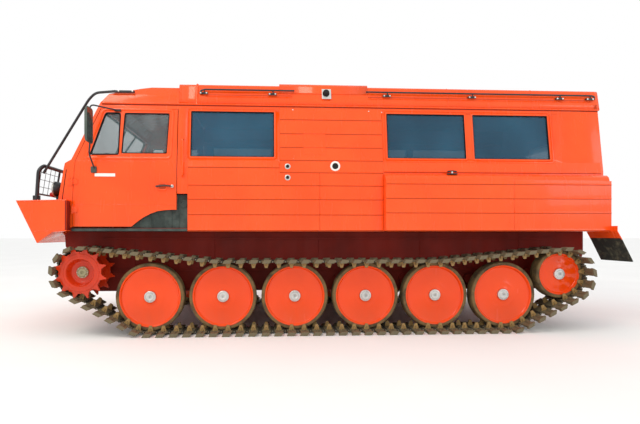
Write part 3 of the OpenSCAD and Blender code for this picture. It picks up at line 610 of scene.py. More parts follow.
def toothed_ring(name, centre, root, pitch, tip, phase, thick, inner):
    mesh = bmesh.new()
    outline = []
    for i in range(TEETH):
        a0 = phase + 2 * math.pi * i / TEETH
        for r, half in ((root, 0.128), (root + 0.012, 0.100), (pitch, 0.054), (tip - 0.006, 0.030),
                (tip, 0.018)):
            outline.append((r, a0 - half, half))
        for r, half in ((tip, 0.018), (tip - 0.006, 0.030), (pitch, 0.054), (root + 0.012, 0.100),
                (root, 0.128)):
            outline.append((r, a0 + half, half))
        outline.append((root - 0.004, a0 + math.pi / TEETH, 0))
    rings = []
    for y in (-thick / 2, thick / 2):
        outer = [mesh.verts.new((centre[0] + r * math.cos(a), centre[1] + y,
            centre[2] + r * math.sin(a))) for r, a, _ in outline]
        hole = [mesh.verts.new((centre[0] + inner * math.cos(a), centre[1] + y,
            centre[2] + inner * math.sin(a))) for _, a, _ in outline]
        rings.append((outer, hole))
    count = len(outline)
    for i in range(count):
        j = (i + 1) % count
        (a, b), (c, d) = rings
        mesh.faces.new((a[i], a[j], b[j], b[i]))
        mesh.faces.new((c[i], d[i], d[j], c[j]))
        mesh.faces.new((a[i], c[i], c[j], a[j]))
        mesh.faces.new((b[i], b[j], d[j], d[i]))
    return bevelled(from_bmesh(name, mesh, sprocket_enamel), 2.5 * MM, 2)


def make_sprocket(node, s):
    low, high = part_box(node)
    centre = Vector(((low.x + high.x) / 2, s * track_y, (low.z + high.z) / 2))
    tip = (high.x - low.x) / 2
    pitch = tip - TIP_ABOVE_PITCH
    root = pitch - PITCH_ABOVE_ROOT
    phase = tooth_angle(node, centre)
    body = node + "_body"
    drum = lathe(node + "_drum", mm_points([(32, 70), (96, 70), (100, 73), (118, 74), (122, 84),
        (136, 122), (139, 150), (146, 161), (168, 163), (170, 166), (196, 166), (199, 163), (199, 140),
        (164, 137), (152, 120), (150, 60), (150, -60), (152, -120), (164, -137), (199, -140),
        (199, -163), (146, -163), (136, -120), (118, -72), (32, -70)], s), centre, sprocket_enamel)
    place_piece(drum, body, "wheel_paint", node)
    parts = [toothed_ring("ring", centre + Vector((0, y, 0)), root, pitch, tip, phase, RING_THICK,
        RING_BORE) for y in (-RING_GAP / 2, RING_GAP / 2)]
    fit(node + "_rings", parts, body, "wheel_paint")
    bolts = bolt_circle([(9, 162), (9, 169), (7, 171), (0, 171)], centre, RING_BOLT_RING, TEETH,
        phase + math.pi / TEETH, sprocket_enamel, s)
    fit(node + "_ring_bolts", bolts, body, "wheel_paint")
    cap = lathe("cap", mm_points([(62, 72), (62, 88), (58, 92), (46, 93), (40, 98), (18, 98), (15, 94),
        (0, 93)], s), centre, green_cap, steps=48)
    bolts = bolt_circle([(6, 91), (6, 97), (4, 99), (0, 99)], centre, HUB_BOLT_RING, 8, 0, bolt_steel,
        s)
    fit(node + "_hub_cap", [cap, *bolts], body, "zinc")


for side, s in SIDES:
    make_sprocket(f"sprocket_{side}", s)
print("sprockets made")

# %% [markdown]
# A track is a chain of cast links joined by pins. Its path wraps the sprocket, the idler and the two
# end wheels, and the slack upper run lies on the wheels between them. The path is a run of arcs and
# straight lines; a link is placed every LINK_PITCH or so along it.
# %% The path of a track
wheel_low, wheel_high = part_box("wheel_right_1")
wheel_r = (wheel_high.z - wheel_low.z) / 2
wheel_z = (wheel_high.z + wheel_low.z) / 2
LINK_PITCH = 136 * MM
LINK_DIP = 2.5 * MM
PITCH_OFF = 9.5 * MM
SLACK_R = 620 * MM


def middle(node):
    low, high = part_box(node)
    return (low.x + high.x) / 2, (low.z + high.z) / 2


slack_z = wheel_z + wheel_r + PITCH_OFF + LINK_DIP
wheel_xs = [middle(f"wheel_right_{i}")[0] for i in range(1, 7)]
sprocket_at, idler_at = middle("sprocket_right"), middle("idler_right")
sprocket_tip = (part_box("sprocket_right")[1].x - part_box("sprocket_right")[0].x) / 2
idler_r = (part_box("idler_right")[1].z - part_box("idler_right")[0].z) / 2
rollers = [(wheel_xs[0], wheel_z, wheel_r + PITCH_OFF), (wheel_xs[5], wheel_z, wheel_r + PITCH_OFF),
    (*idler_at, idler_r + PITCH_OFF), (wheel_xs[4], slack_z + SLACK_R, -SLACK_R),
    (wheel_xs[1], slack_z + SLACK_R, -SLACK_R), (*sprocket_at, sprocket_tip - TIP_ABOVE_PITCH)]
COUNT = len(rollers)


def heading(i):
    (ax, az, ar), (bx, bz, br) = rollers[i % COUNT], rollers[(i + 1) % COUNT]
    return math.atan2(bz - az, bx - ax) + math.asin((ar - br) / math.hypot(bx - ax, bz - az))


def straight(i):
    (ax, az, ar), (bx, bz, br) = rollers[i % COUNT], rollers[(i + 1) % COUNT]
    return math.sqrt((bx - ax) ** 2 + (bz - az) ** 2 - (ar - br) ** 2)


def turn(i):
    a = heading(i) - heading(i - 1)
    a -= 2 * math.pi * round(a / (2 * math.pi))
    return a + 2 * math.pi if rollers[i][2] > 0 and a < -0.02 else a


arcs = [abs(rollers[i][2] * turn(i)) for i in range(COUNT)]
path_length = sum(arcs) + sum(straight(i) for i in range(COUNT))
LINKS = round(path_length / LINK_PITCH)
link_step = path_length / LINKS


def on_path(s):
    """Place and heading at a distance along the path."""
    for i in range(COUNT):
        x, z, r = rollers[i]
        if s < arcs[i]:
            a = heading(i - 1) + s / r
            return x + r * math.sin(a), z - r * math.cos(a), a
        s -= arcs[i]
        if s < straight(i):
            a = heading(i)
            return x + r * math.sin(a) + s * math.cos(a), z - r * math.cos(a) + s * math.sin(a), a
        s -= straight(i)
    return on_path(0)


print("path", round(path_length, 3), "m,", LINKS, "links")

# %% [markdown]
# One link has a middle casting with finger-like knuckles for the pins, two guide horns that keep the
# wheels between them, and a paddle on each side that leans back to bite into snow or bog. It is built
# once from blocks with sheared faces and then copied along the path.
# %% Track links
def block_at(mesh, low, high, shear=0.0, taper=0.0, index=0):
    """A block in link coordinates. Shear slides its bottom along the path; taper narrows its top."""
    made = bmesh.ops.create_cube(mesh, size=1.0)["verts"]
    low, high = Vector(low), Vector(high)
    for v in made:
        up = v.co.z + 0.5
        v.co = Vector([(low[k] + high[k]) / 2 + v.co[k] * (high[k] - low[k]) for k in range(3)])
        v.co.x = v.co.x * (1 - taper * up) + shear * (1 - up)
    for face in {f for v in made for f in v.link_faces}:
        face.material_index = index
    return made


def knuckle(mesh, x, y0, y1, r, index=0, steps=12):
    made = bmesh.ops.create_cone(mesh, segments=steps, radius1=r, radius2=r, depth=abs(y1 - y0),
        cap_ends=True)["verts"]
    for v in made:
        v.co = Vector((x + v.co.x, (y0 + y1) / 2 + v.co.z, v.co.y))
    for face in {f for v in made for f in v.link_faces}:
        face.material_index = index


def mm(*values):
    """A point given in millimetres."""
    return [v * MM for v in values]


def link_mesh():
    mesh = bmesh.new()
    block_at(mesh, mm(-50, -132, -9), mm(50, 132, 8))
    block_at(mesh, mm(-46, -132, 6), mm(-30, 132, 12))
    for side in (-1, 1):
        block_at(mesh, mm(-42, side * 200 - 68, -9), mm(40, side * 200 + 68, 6), shear=-4 * MM)
        block_at(mesh, mm(-20, side * 194 - 64, -26), mm(24, side * 194 + 64, -2), shear=-22 * MM)
        block_at(mesh, mm(-30, side * 250 - 20, -26), mm(46, side * 250 + 20, 12), shear=-26 * MM)
        block_at(mesh, mm(-6, side * 196 - 62, 4), mm(8, side * 196 + 62, 15), taper=0.4)
        block_at(mesh, mm(-34, side * 90 - 7, 0), mm(34, side * 90 + 7, 68), taper=0.55, index=1)
        block_at(mesh, mm(-9, side * 103 - 6, 0), mm(9, side * 103 + 6, 40), taper=0.3, index=1)
        knuckle(mesh, 16 * MM, side * 118 * MM, side * 130 * MM, 11 * MM, 2, 6)
    for k in range(5):
        y = (-104 + 52 * k) * MM
        knuckle(mesh, 61 * MM, y - 11 * MM, y + 11 * MM, 14 * MM)
        if k < 4:
            knuckle(mesh, -61 * MM, y + 15 * MM, y + 37 * MM, 14 * MM)
    bmesh.ops.bevel(mesh, geom=[e for e in mesh.edges if e.calc_face_angle(0) > 0.9
        and e.calc_length() > 12 * MM], offset=2 * MM, segments=1, affect="EDGES")
    data = bpy.data.meshes.new("link")
    mesh.to_mesh(data)
    mesh.free()
    return data


def make_track(side, s):
    link = link_mesh()
    mesh = bmesh.new()
    for i in range(LINKS):
        x, z, a = on_path((i + 0.5) * link_step)
        start = len(mesh.verts)
        mesh.from_mesh(link)
        mesh.verts.ensure_lookup_table()
        at = Matrix.Translation((x, s * track_y, z)) @ Matrix.Rotation(-a, 4, "Y")
        for v in mesh.verts[start:]:
            v.co = at @ v.co
    data = bpy.data.meshes.new(f"track_{side}_links")
    mesh.to_mesh(data)
    mesh.free()
    bpy.data.meshes.remove(link)
    links = link_object(f"track_{side}_links", data, (link_steel, horn_steel, pin_steel))
    place_piece(links, "chassis", "track_steel", f"track_{side}")
    pins = bmesh.new()
    for i in range(LINKS):
        x, z, _ = on_path(i * link_step)
        made = bmesh.ops.create_cone(pins, segments=12, radius1=7 * MM, radius2=7 * MM, depth=262 * MM,
            cap_ends=True)["verts"]
        for v in made:
            v.co = Vector((x + v.co.x, s * track_y + v.co.z, z + v.co.y))
    place_piece(from_bmesh(f"track_{side}_pins", pins, pin_steel), "chassis", "track_steel")


for side, s in SIDES:
    make_track(side, s)
print("tracks laid")

# %% [markdown]
# The hull is a welded steel box that floats the vehicle over bogs. Its orange paint lies in shade under
# the body, so it is drawn in a dark red-brown enamel as painted shade. Seams, a drain row and the swing
# arms show between the wheels. Refined copies of the CAD shapes give it real plate edges; weld beads
# are thin tubes along the seams.
# %% Hull, swing arms and floor
hull_low, hull_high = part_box("hull_tub")
for node, width in (("hull_tub", 6 * MM), ("body_floor", 3 * MM), ("tow_clevis", 4 * MM)):
    dress(node + "_plate", node, width, painted_shade_red_brown_enamel, "chassis", "hull_paint")
for side, s in SIDES:
    dress(f"swing_arms_{side}_forged", f"swing_arms_{side}", 5 * MM, painted_shade_red_brown_enamel, "chassis",
        "hull_paint")
    beads = [tube("w", [(x, s * hull_high.y, 0.62), (x, s * hull_high.y, 1.07)], 4 * MM, painted_shade_red_brown_enamel)
        for x in (-2.2, -1.3, -0.1, 1.1, 2.3)]
    beads += [slab("r", (-2.55, s * hull_high.y, z - 0.014),
        (2.7, s * (hull_high.y + 0.012), z + 0.014), painted_shade_red_brown_enamel) for z in (0.66, 1.02)]
    fit(f"hull_seams_{side}", beads, "chassis", "hull_paint")
print("hull", [round(v, 2) for v in (*hull_low, *hull_high)])

# %% [markdown]
# The prow bumper is one folded sheet with a welded seam low on its side. The brush guard standing on
# it is bent tube, so it is drawn as a curve with a round bevel: the bends come out smooth, as they
# would from a pipe bender. A wire mesh guards each headlamp.
# %% Bumper and brush guard
dress("front_bumper_sheet", "front_bumper", 7 * MM, orange_enamel, "chassis", "orange_paint")
bumper_y, front_x = bumper_high.y, bumper_low.x
for side, s in SIDES:
    # Painted shade: the return slab is the bumper's rear face, drawn in the dark red-brown enamel.
    seam = [tube("seam", [(front_x + 0.19, s * bumper_y, 1.098), (-2.81, s * bumper_y, 1.118)], 3 * MM,
        orange_enamel), tube("lip", [(front_x + 0.02, s * bumper_y, 1.412),
        (-2.80, s * bumper_y, 1.424)], 5 * MM, orange_enamel),
        slab("return", (-2.812, s * (bumper_y - 0.10), 1.11), (-2.797, s * (bumper_y + 1 * MM), 1.425),
        painted_shade_red_brown_enamel)]
    fit(f"bumper_seams_{side}", seam, "chassis", "orange_paint")

GUARD_R = 21 * MM
GUARD_LEG_IN = 240 * MM
leg_y = waist_y - GUARD_LEG_IN
hoop = [tube("hoop", [(-3.258, -leg_y, 1.436), (-3.236, -leg_y, 1.78), (-3.200, -leg_y + 0.04, 1.835),
    (-3.200, leg_y - 0.04, 1.835), (-3.236, leg_y, 1.78), (-3.258, leg_y, 1.436)], GUARD_R, black_coat,
    bend=0.07)]
hoop.append(tube("rung", [(-3.254, -leg_y, 1.520), (-3.254, leg_y, 1.520)], 10 * MM, black_coat))
for y in (leg_y - 0.490, 0.490 - leg_y):
    hoop.append(tube("upright", [(-3.202, y, 1.825), (-3.254, y, 1.520)], 12 * MM, black_coat))
for side, s in SIDES:
    hoop.append(lathe("foot", [(0.0, 1.444), (0.045, 1.444), (0.052, 1.440), (0.052, 1.434)],
        (-3.260, s * leg_y, 0), black_coat, "Z", 32))
    hoop.append(slab("gusset", (-3.30, s * leg_y - 4 * MM, 1.44), (-3.215, s * leg_y + 4 * MM, 1.50),
        black_coat, 6 * MM))
    for a in range(4):
        c = math.pi / 4 + a * math.pi / 2
        hoop.append(lathe("bolt", [(0, 1.452), (8 * MM, 1.450), (9 * MM, 1.442)],
            (-3.260 + 0.036 * math.cos(c), s * leg_y + 0.036 * math.sin(c), 0), bolt_steel, "Z", 6))
fit("brush_guard_tubes", hoop, "chassis", "black_tube", "brush_guard")
wires = []
for side, s in SIDES:
    for k in range(4):
        y = s * (leg_y - 0.38 + 0.12 * k)
        wires.append(tube("w", [(-3.253, y, 1.52), (-3.206, y, 1.83)], 3 * MM, black_coat))
    for z in (1.60, 1.68, 1.76):
        x = -3.251 + (z - 1.52) * 0.152
        wires.append(tube("w", [(x, s * (leg_y - 0.485), z), (x, s * (leg_y - 0.015), z)], 3 * MM,
            black_coat))
fit("lamp_mesh_wires", wires, "chassis", "black_tube")
print("guard legs at", round(leg_y, 3))

# %% [markdown]
# Each headlamp is a spun steel bowl with a chromed rim round a ribbed glass lens, on a folded bracket.
# A small red marker lamp is set just below it.
# %% Headlamps
lens_glass, lens_tree, lens_shader, lens_place = new_material("Ribbed_lamp_glass", Roughness=0.08,
    Transmission_Weight=0.35, IOR=1.5)
ribs = add(lens_tree, "TexWave", {"bands_direction": "Y"}, Vector=lens_place,
    Scale=1 / (12 * MM * WAVE_FACTOR))
link(lens_tree, ramp(lens_tree, ribs.outputs["Fac"], [(0.2, "#B9C0C4"), (0.9, "#F6F7F5")]), lens_shader,
    "Base Color")
bump(lens_tree, lens_shader, ribs.outputs["Fac"], 0.5, 2 * MM)
LAMP_R = 88 * MM
LAMP_IN = 230 * MM
lamp_y = leg_y - LAMP_IN
for side, s in SIDES:
    at = (-3.118, s * lamp_y, 1.590)
    bowl = lathe("bowl", [(0.0, 0.070), (0.03, 0.068), (0.052, 0.060), (0.074, 0.036), (0.086, 0.002),
        (LAMP_R, -0.012), (LAMP_R, -0.030)], at, black_coat, "X", 64)
    rim = lathe("rim", [(0.089, -0.022), (0.090, -0.032), (0.087, -0.040), (0.080, -0.042),
        (0.078, -0.036)], at, bolt_steel, "X", 64)
    bracket = [slab("post", (at[0] - 0.016, at[1] - 0.020, 1.432),
        (at[0] + 0.016, at[1] + 0.020, 1.512), black_coat, 3 * MM),
        slab("foot", (at[0] - 0.045, at[1] - 0.05, 1.428), (at[0] + 0.045, at[1] + 0.05, 1.437),
        black_coat, 3 * MM)]
    fit(f"headlamp_{side}", [bowl, rim, *bracket], "chassis", "black_tube",
        *(["headlamps"] if s < 0 else []))
    lens = lathe(f"headlamp_lens_{side}", [(0.0, -0.054), (0.03, -0.052), (0.06, -0.045),
        (0.079, -0.034)], at, lens_glass, "X", 64)
    place_piece(lens, "chassis", "glass")
    marker = lathe(f"marker_lamp_{side}", [(0.0, -0.075), (0.012, -0.074), (0.024, -0.066),
        (0.028, -0.054), (0.028, -0.03)], (at[0] - 0.01, at[1] + s * 0.02, 1.525), red_lens, "X", 40)
    place_piece(marker, "chassis", "glass")

# %% [markdown]
# The branch stays run from the guard to the roof, so that branches slide up and over the windscreen.
# They end in flattened tabs with two bolts.
# %% Branch deflector stays
stays = []
for side, s in SIDES:
    y = s * (gutter_y - 0.165)
    foot_y, foot_z = s * (gutter_y - 0.004), gutter_z + 0.128
    stays.append(tube("stay", [(-3.203, y - s * 0.020, 1.752),
        (-2.680, y + s * 0.045, gutter_z + 0.070), (-2.590, y + s * 0.100, gutter_z + 0.126),
        (-2.360, foot_y, foot_z)], 14 * MM, black_coat, bend=0.08))
    stays.append(slab("tab", (-2.39, foot_y - 0.012, foot_z - 0.014),
        (-2.15, foot_y + 0.012, foot_z + 0.010), black_coat))
    for x in (-2.32, -2.17):
        stays.append(lathe("bolt", mm_points([(0, 26), (9, 24), (11, 12)], s), (x, foot_y, foot_z),
            bolt_steel, "Y", 6))
fit("deflector_stay_tubes", stays, "chassis", "black_tube", "deflector_stays")

# %% [markdown]
# The cab is a pressed-steel truck cab whose edges are rounded by the press. A copy of its CAD shape
# with a wide bevel gives those edges. The gutter, windscreen seal, vent slots and the standing groove
# ahead of the door are pieces of their own.
# %% Cab shell and windscreen
dress("cab_shell_pressing", "cab_shell", 16 * MM, orange_enamel, "chassis", "orange_paint", segments=4,
    angle=12, smooth=50)
dress("windscreen_pane", "windscreen", 2 * MM, cab_glass, "chassis", "glass")
SCREEN_IN = 240 * MM
screen_y = waist_y - SCREEN_IN
LOW, HIGH = Vector((-2.788, 0, 1.905)), Vector((-2.552, 0, 2.452))


def on_screen(y, share, out=0.0):
    """A point on the raked windscreen: share 0 is its lower edge and 1 its upper edge."""
    p = LOW.lerp(HIGH, share)
    normal = Vector((-(HIGH.z - LOW.z), 0, HIGH.x - LOW.x)).normalized()
    return Vector((p.x + normal.x * out, y, p.z + normal.z * out))


corners = [on_screen(-screen_y, 0), on_screen(screen_y, 0), on_screen(screen_y, 1),
    on_screen(-screen_y, 1)]
seal = [tube("seal", corners, 13 * MM, seal_rubber, bend=0.07, closed=True),
    tube("mid", [on_screen(0, 0), on_screen(0, 1)], 9 * MM, seal_rubber)]
fit("windscreen_seal", seal, "chassis", "flap_rubber")
wipers = []
for y in (-0.78, -0.08, 0.62):
    wipers.append(tube("arm", [on_screen(y, -0.06, 0.022), on_screen(y + 0.06, 0.03, 0.03),
        on_screen(y + 0.34, 0.26, 0.024)], 4 * MM, black_coat, 0.03))
    wipers.append(tube("blade", [on_screen(y + 0.06, 0.12, 0.016), on_screen(y + 0.56, 0.36, 0.016)],
        5 * MM, seal_rubber))
fit("wipers", wipers, "chassis", "black_tube")
slots = []
for row in range(5):
    z = 1.50 + row * 0.052
    x = -2.925 + (z - 1.45) * 0.171
    # Painted shade: the slot blocks behind the louvres are near-black.
    slots.append(slab("slot", (x - 0.006, -0.62, z - 0.014), (x + 0.010, 0.62, z + 0.010), opening_shade_black,
        4 * MM))
    slots.append(slab("louvre", (x - 0.014, -0.63, z + 0.010), (x + 0.006, 0.63, z + 0.020),
        orange_enamel))
fit("cab_front_louvres", slots, "chassis", "orange_paint")
for side, s in SIDES:
    turn_lamp = slab(f"indicator_{side}", (-2.912, s * 0.86 - 0.06, 1.62),
        (-2.880, s * 0.86 + 0.06, 1.69), amber_lens, 8 * MM, 3)
    place_piece(turn_lamp, "chassis", "glass")
    plate = slab("plate", (-2.918, s * 0.86 - 0.07, 1.61), (-2.890, s * 0.86 + 0.07, 1.70), black_coat)
    fit(f"indicator_base_{side}", [plate], "chassis", "black_tube")
    # Painted shade: the groove is a near-black rubber tube standing for the shade in it, and the tube
    # under the gutter is a painted shadow.
    groove = [tube("groove", [on_wall(-2.838, 1.14, 1 * MM, s), on_wall(-2.885, 1.44, 1 * MM, s),
        on_wall(-2.842, 1.76, 1 * MM, s)], 3.5 * MM, seal_rubber, bend=0.02),
        tube("gutter", [on_wall(-2.505, gutter_z - 0.004, 8 * MM, s),
        on_wall(rear_x - 0.03, gutter_z - 0.004, 8 * MM, s)], 9 * MM, orange_enamel),
        tube("shadow", [on_wall(-2.500, gutter_z - 0.016, 4 * MM, s),
        on_wall(rear_x - 0.03, gutter_z - 0.016, 4 * MM, s)], 5 * MM, painted_shade_red_brown_enamel)]
    fit(f"gutter_{side}", groove, "chassis", "orange_paint")
print("cab dressed")

# %% [markdown]
# A door is two pressings clinched together. Its outer skin has a raised frame round the glass, a
# crease low down, a recess for the handle and a soft rubber seal that fills the gap to the cab. The
# quarter glass stands in black rubber; the drop glass slides in a dark channel.
# %% Cab doors
QUARTER = [(-2.600, 1.927), (-2.302, 1.930), (-2.297, 2.392), (-2.455, 2.392)]
DROP = [(-2.270, 1.945), (-1.790, 1.947), (-1.770, 2.392), (-2.250, 2.392)]
GLAZED = [(-2.630, 1.905), (-1.762, 1.905), (-1.745, 2.415), (-2.470, 2.415)]
DOOR = [(-2.776, 1.155), (-2.778, 1.427), (-2.752, 1.853), (-2.672, 2.048), (-2.507, 2.438),
    (-1.682, 2.438), (-1.682, 1.334), (-1.790, 1.330), (-1.880, 1.318), (-1.960, 1.288),
    (-2.040, 1.244), (-2.110, 1.192), (-2.160, 1.152)]


def wall_tube(name, places, radius, lift, material, s, bend=0.02, closed=False):
    return tube(name, [on_wall(x, z, lift, s) for x, z in places], radius, material, bend, closed)


for side, s in SIDES:
    body = f"cab_door_{side}_body"
    dress(f"cab_door_{side}_skin", f"cab_door_{side}", 5 * MM, door_enamel, body, "orange_paint",
        angle=20, smooth=50)
    frame_bead = [wall_ring("bead", GLAZED, [(0.000, 0.0), (0.004, 0.006), (0.014, 0.009),
        (0.026, 0.007), (0.032, 0.0), (0.016, -0.004)], 0.03, door_enamel, s),
        wall_tube("crease", [(-2.772, 1.386), (-1.686, 1.386)], 3.5 * MM, -1 * MM, door_enamel, s),
        wall_tube("fold", [(-2.750, 1.856), (-1.690, 1.856)], 4 * MM, -2.5 * MM, door_enamel, s)]
    fit(f"door_frame_{side}", frame_bead, body, "orange_paint")
    rubbers = [wall_ring("q", QUARTER, [(-0.008, 0.002), (-0.006, 0.007), (0.002, 0.008),
        (0.006, 0.003), (0.003, -0.016), (-0.008, -0.016)], 0.03, seal_rubber, s),
        wall_ring("d", DROP, [(-0.006, 0.000), (-0.004, 0.003), (0.001, 0.003), (0.003, 0.001),
        (0.002, -0.016), (-0.006, -0.016)], 0.03, seal_rubber, s),
        wall_tube("gap", DOOR, 4 * MM, -6 * MM, seal_rubber, s, closed=True)]
    fit(f"door_seals_{side}", rubbers, body, "flap_rubber")
    quarter = wall_pane(f"quarter_glass_{side}", QUARTER, -11 * MM, 5 * MM, 0.03, cab_glass, s)
    place_piece(quarter, body, "glass", f"door_glass_{side}")
    place_piece(wall_pane(f"drop_glass_{side}", DROP, -14 * MM, 5 * MM, 0.03, cab_glass, s), body,
        "glass")
    tag = slab(f"reflector_{side}", (-2.544, s * (waist_y + 1 * MM), 1.687),
        (-2.328, s * (waist_y + 8 * MM), 1.721), reflector, 2.5 * MM)
    place_piece(tag, body, "orange_paint")
    recess = rectangle(-1.885, -1.775, 1.540, 1.628)
    # Painted shade: the well at the back of the recess is in the darker orange enamel.
    cup = [wall_ring("cup", recess, [(-0.034, -0.004), (-0.010, 0.004), (0.0, 0.006), (0.006, 0.0)],
        0.040, door_enamel, s), wall_pane("well", recess, 1.5 * MM, 1 * MM, 0.040, painted_shade_orange_enamel, s)]
    fit(f"handle_recess_{side}", cup, body, "orange_paint")
    hinge_parts = []
    for z in (1.300, 1.600):
        hinge_parts.append(lathe("barrel", [(0, 0.0), (0.0110, 0.0), (0.0115, 0.002), (0.0115, 0.058),
            (0.0110, 0.060), (0, 0.060)], (-2.780, s * (waist_y + 0.012), z), door_enamel, "Z", 24))
        hinge_parts.append(slab("leaf", (-2.777, s * (waist_y + 0.001), z + 0.004),
            (-2.720, s * (waist_y + 0.007), z + 0.056), door_enamel))
    fit(f"door_hinges_{side}", hinge_parts, body, "orange_paint")
    grip = [lathe("boss", mm_points([(17, 3), (17, 20), (15, 25), (8, 27), (6, 24), (0, 24)], s),
        (-1.722, s * waist_y, 1.586), bolt_steel, steps=40), tube("lever",
        [(-1.722, s * (waist_y + 0.018), 1.586), (-1.80, s * (waist_y + 0.026), 1.592),
        (-1.898, s * (waist_y + 0.017), 1.584)], 8.5 * MM, black_coat, 0.05)]
    fit(f"door_lever_{side}", grip, f"door_handle_{side}_body", "black_tube", f"door_handle_{side}")
print("doors dressed")

# %% [markdown]
# Each mirror is a vinyl-grained shell clamped to a bent rod that stands off the door on two feet. The
# silvered glass faces backwards, so that the driver sees past the wide body.
# %% Mirrors and grab bars
silvered, silver_tree, silver_shader, silver_place = new_material("Silvered_mirror_glass", Metallic=0.5,
    Roughness=0.12)
ripple = add(silver_tree, "TexNoise", Vector=silver_place, Scale=2.0)
link(silver_tree, ramp(silver_tree, ripple.outputs["Fac"], [(0.3, "#3E4A44"), (0.7, "#56625B")]),
    silver_shader, "Base Color")
MIRROR_X = -2.562
MIRROR_OUT = 100 * MM
mirror_y = waist_y + MIRROR_OUT
for side, s in SIDES:
    door_body, head_body = f"cab_door_{side}_body", f"mirror_{side}_body"
    rod = [tube("rod", [(-2.545, s * (waist_y + 0.010), 1.772), (MIRROR_X - 0.01, s * mirror_y, 1.915),
        (MIRROR_X, s * mirror_y, 2.020), (MIRROR_X, s * mirror_y, 2.435),
        (-2.330, s * (gutter_y + 0.030), 2.418)], 8 * MM, black_coat, 0.05),
        slab("foot", (-2.583, s * (waist_y + 0.001), 1.726), (-2.523, s * (waist_y + 0.016), 1.794),
        mirror_abs, 5 * MM, 3), slab("foot", (-2.360, s * (gutter_y + 0.017), 2.406),
        (-2.290, s * (gutter_y + 0.032), 2.430), black_coat, 4 * MM)]
    fit(f"mirror_rod_{side}", rod, door_body, "black_tube", f"mirror_arm_{side}")
    mesh = bmesh.new()
    outline = fillet([(mirror_y - 0.036, 2.020, 0), (mirror_y + 0.144, 2.020, 0),
        (mirror_y + 0.144, 2.390, 0), (mirror_y - 0.036, 2.390, 0)], 0.035, 5, True)
    centre = Vector((mirror_y + 0.054, 2.205, 0))
    loops = [[mesh.verts.new((x, s * (centre + (p - centre) * k).x, (centre + (p - centre) * k).y))
        for p in outline] for x, k in ((-2.578, 0.55), (-2.575, 0.80), (-2.566, 0.94), (-2.553, 1.0),
        (-2.544, 1.0), (-2.541, 0.975), (-2.545, 0.95))]
    for a, b in zip(loops, loops[1:]):
        ladder(mesh, a, b)
    mesh.faces.new(loops[0])
    place_piece(from_bmesh(f"mirror_shell_{side}", mesh, mirror_abs, 60), head_body, "mirror_housing",
        f"mirror_{side}")
    pane = slab(f"mirror_glass_{side}", (-2.548, s * (mirror_y - 0.028), 2.028),
        (-2.543, s * (mirror_y + 0.136), 2.382), silvered, 2 * MM)
    place_piece(pane, head_body, "glass")
    grab = tube(f"grab_bar_{side}", [(-1.612, s * (waist_y + 0.002), 1.710),
        (-1.612, s * (waist_y + 0.034), 1.705), (-1.612, s * (waist_y + 0.024), 2.100),
        (-1.612, s * (waist_y - 0.038), 2.100)], 11 * MM, orange_enamel, 0.03)
    pads = [slab("pad", (-1.634, s * (waist_y + 0.0005), 1.688), (-1.590, s * (waist_y + 0.006), 1.732),
        orange_enamel)]
    fit(f"grab_bar_set_{side}", [grab, *pads], "chassis", "orange_paint",
        *(["grab_bars"] if s < 0 else []))

# %% [markdown]
# The passenger body is a tube frame clad in lapped sheet-metal planks. Each plank is a shallow pressing
# whose lower lip stands a few millimetres proud, and that lip catches the light as a thin line. The
# strip under the lip and the plank's end are drawn in a darker orange enamel as painted shade. The
# planks are strips set on a refined copy of the wall.
# %% Side walls
def plank(name, x0, x1, z0, z1, material, s, plane=None, proud=7 * MM):
    """One lapped plank: flush at the top and proud at its rolled lower lip."""
    mesh = bmesh.new()
    rows = [(z1, 0.6 * MM), (z1 - 0.004, 1.0 * MM), (z0 + 0.024, proud * 0.6), (z0 + 0.013, proud),
        (z0 + 0.008, proud), (z0, 0.6 * MM)]
    ends = [(x0, 0.0), (x0 + 0.003, 1.0), (x1 - 0.003, 1.0), (x1, 0.0)]
    grid = [[mesh.verts.new(on_wall(x, z, lift * k + 0.3 * MM, s, plane)) for x, k in ends] for z,
        lift in rows]
    for a, b in zip(grid, grid[1:]):
        for i in range(3):
            face = mesh.faces.new((a[i], a[i + 1], b[i + 1], b[i]))
            # Painted shade: the lip's underside and the end strip take the darker orange enamel.
            face.material_index = 1 if b is grid[-1] or i == 2 else 0
    return from_bmesh(name, mesh, (material, painted_shade_orange_enamel), 12)


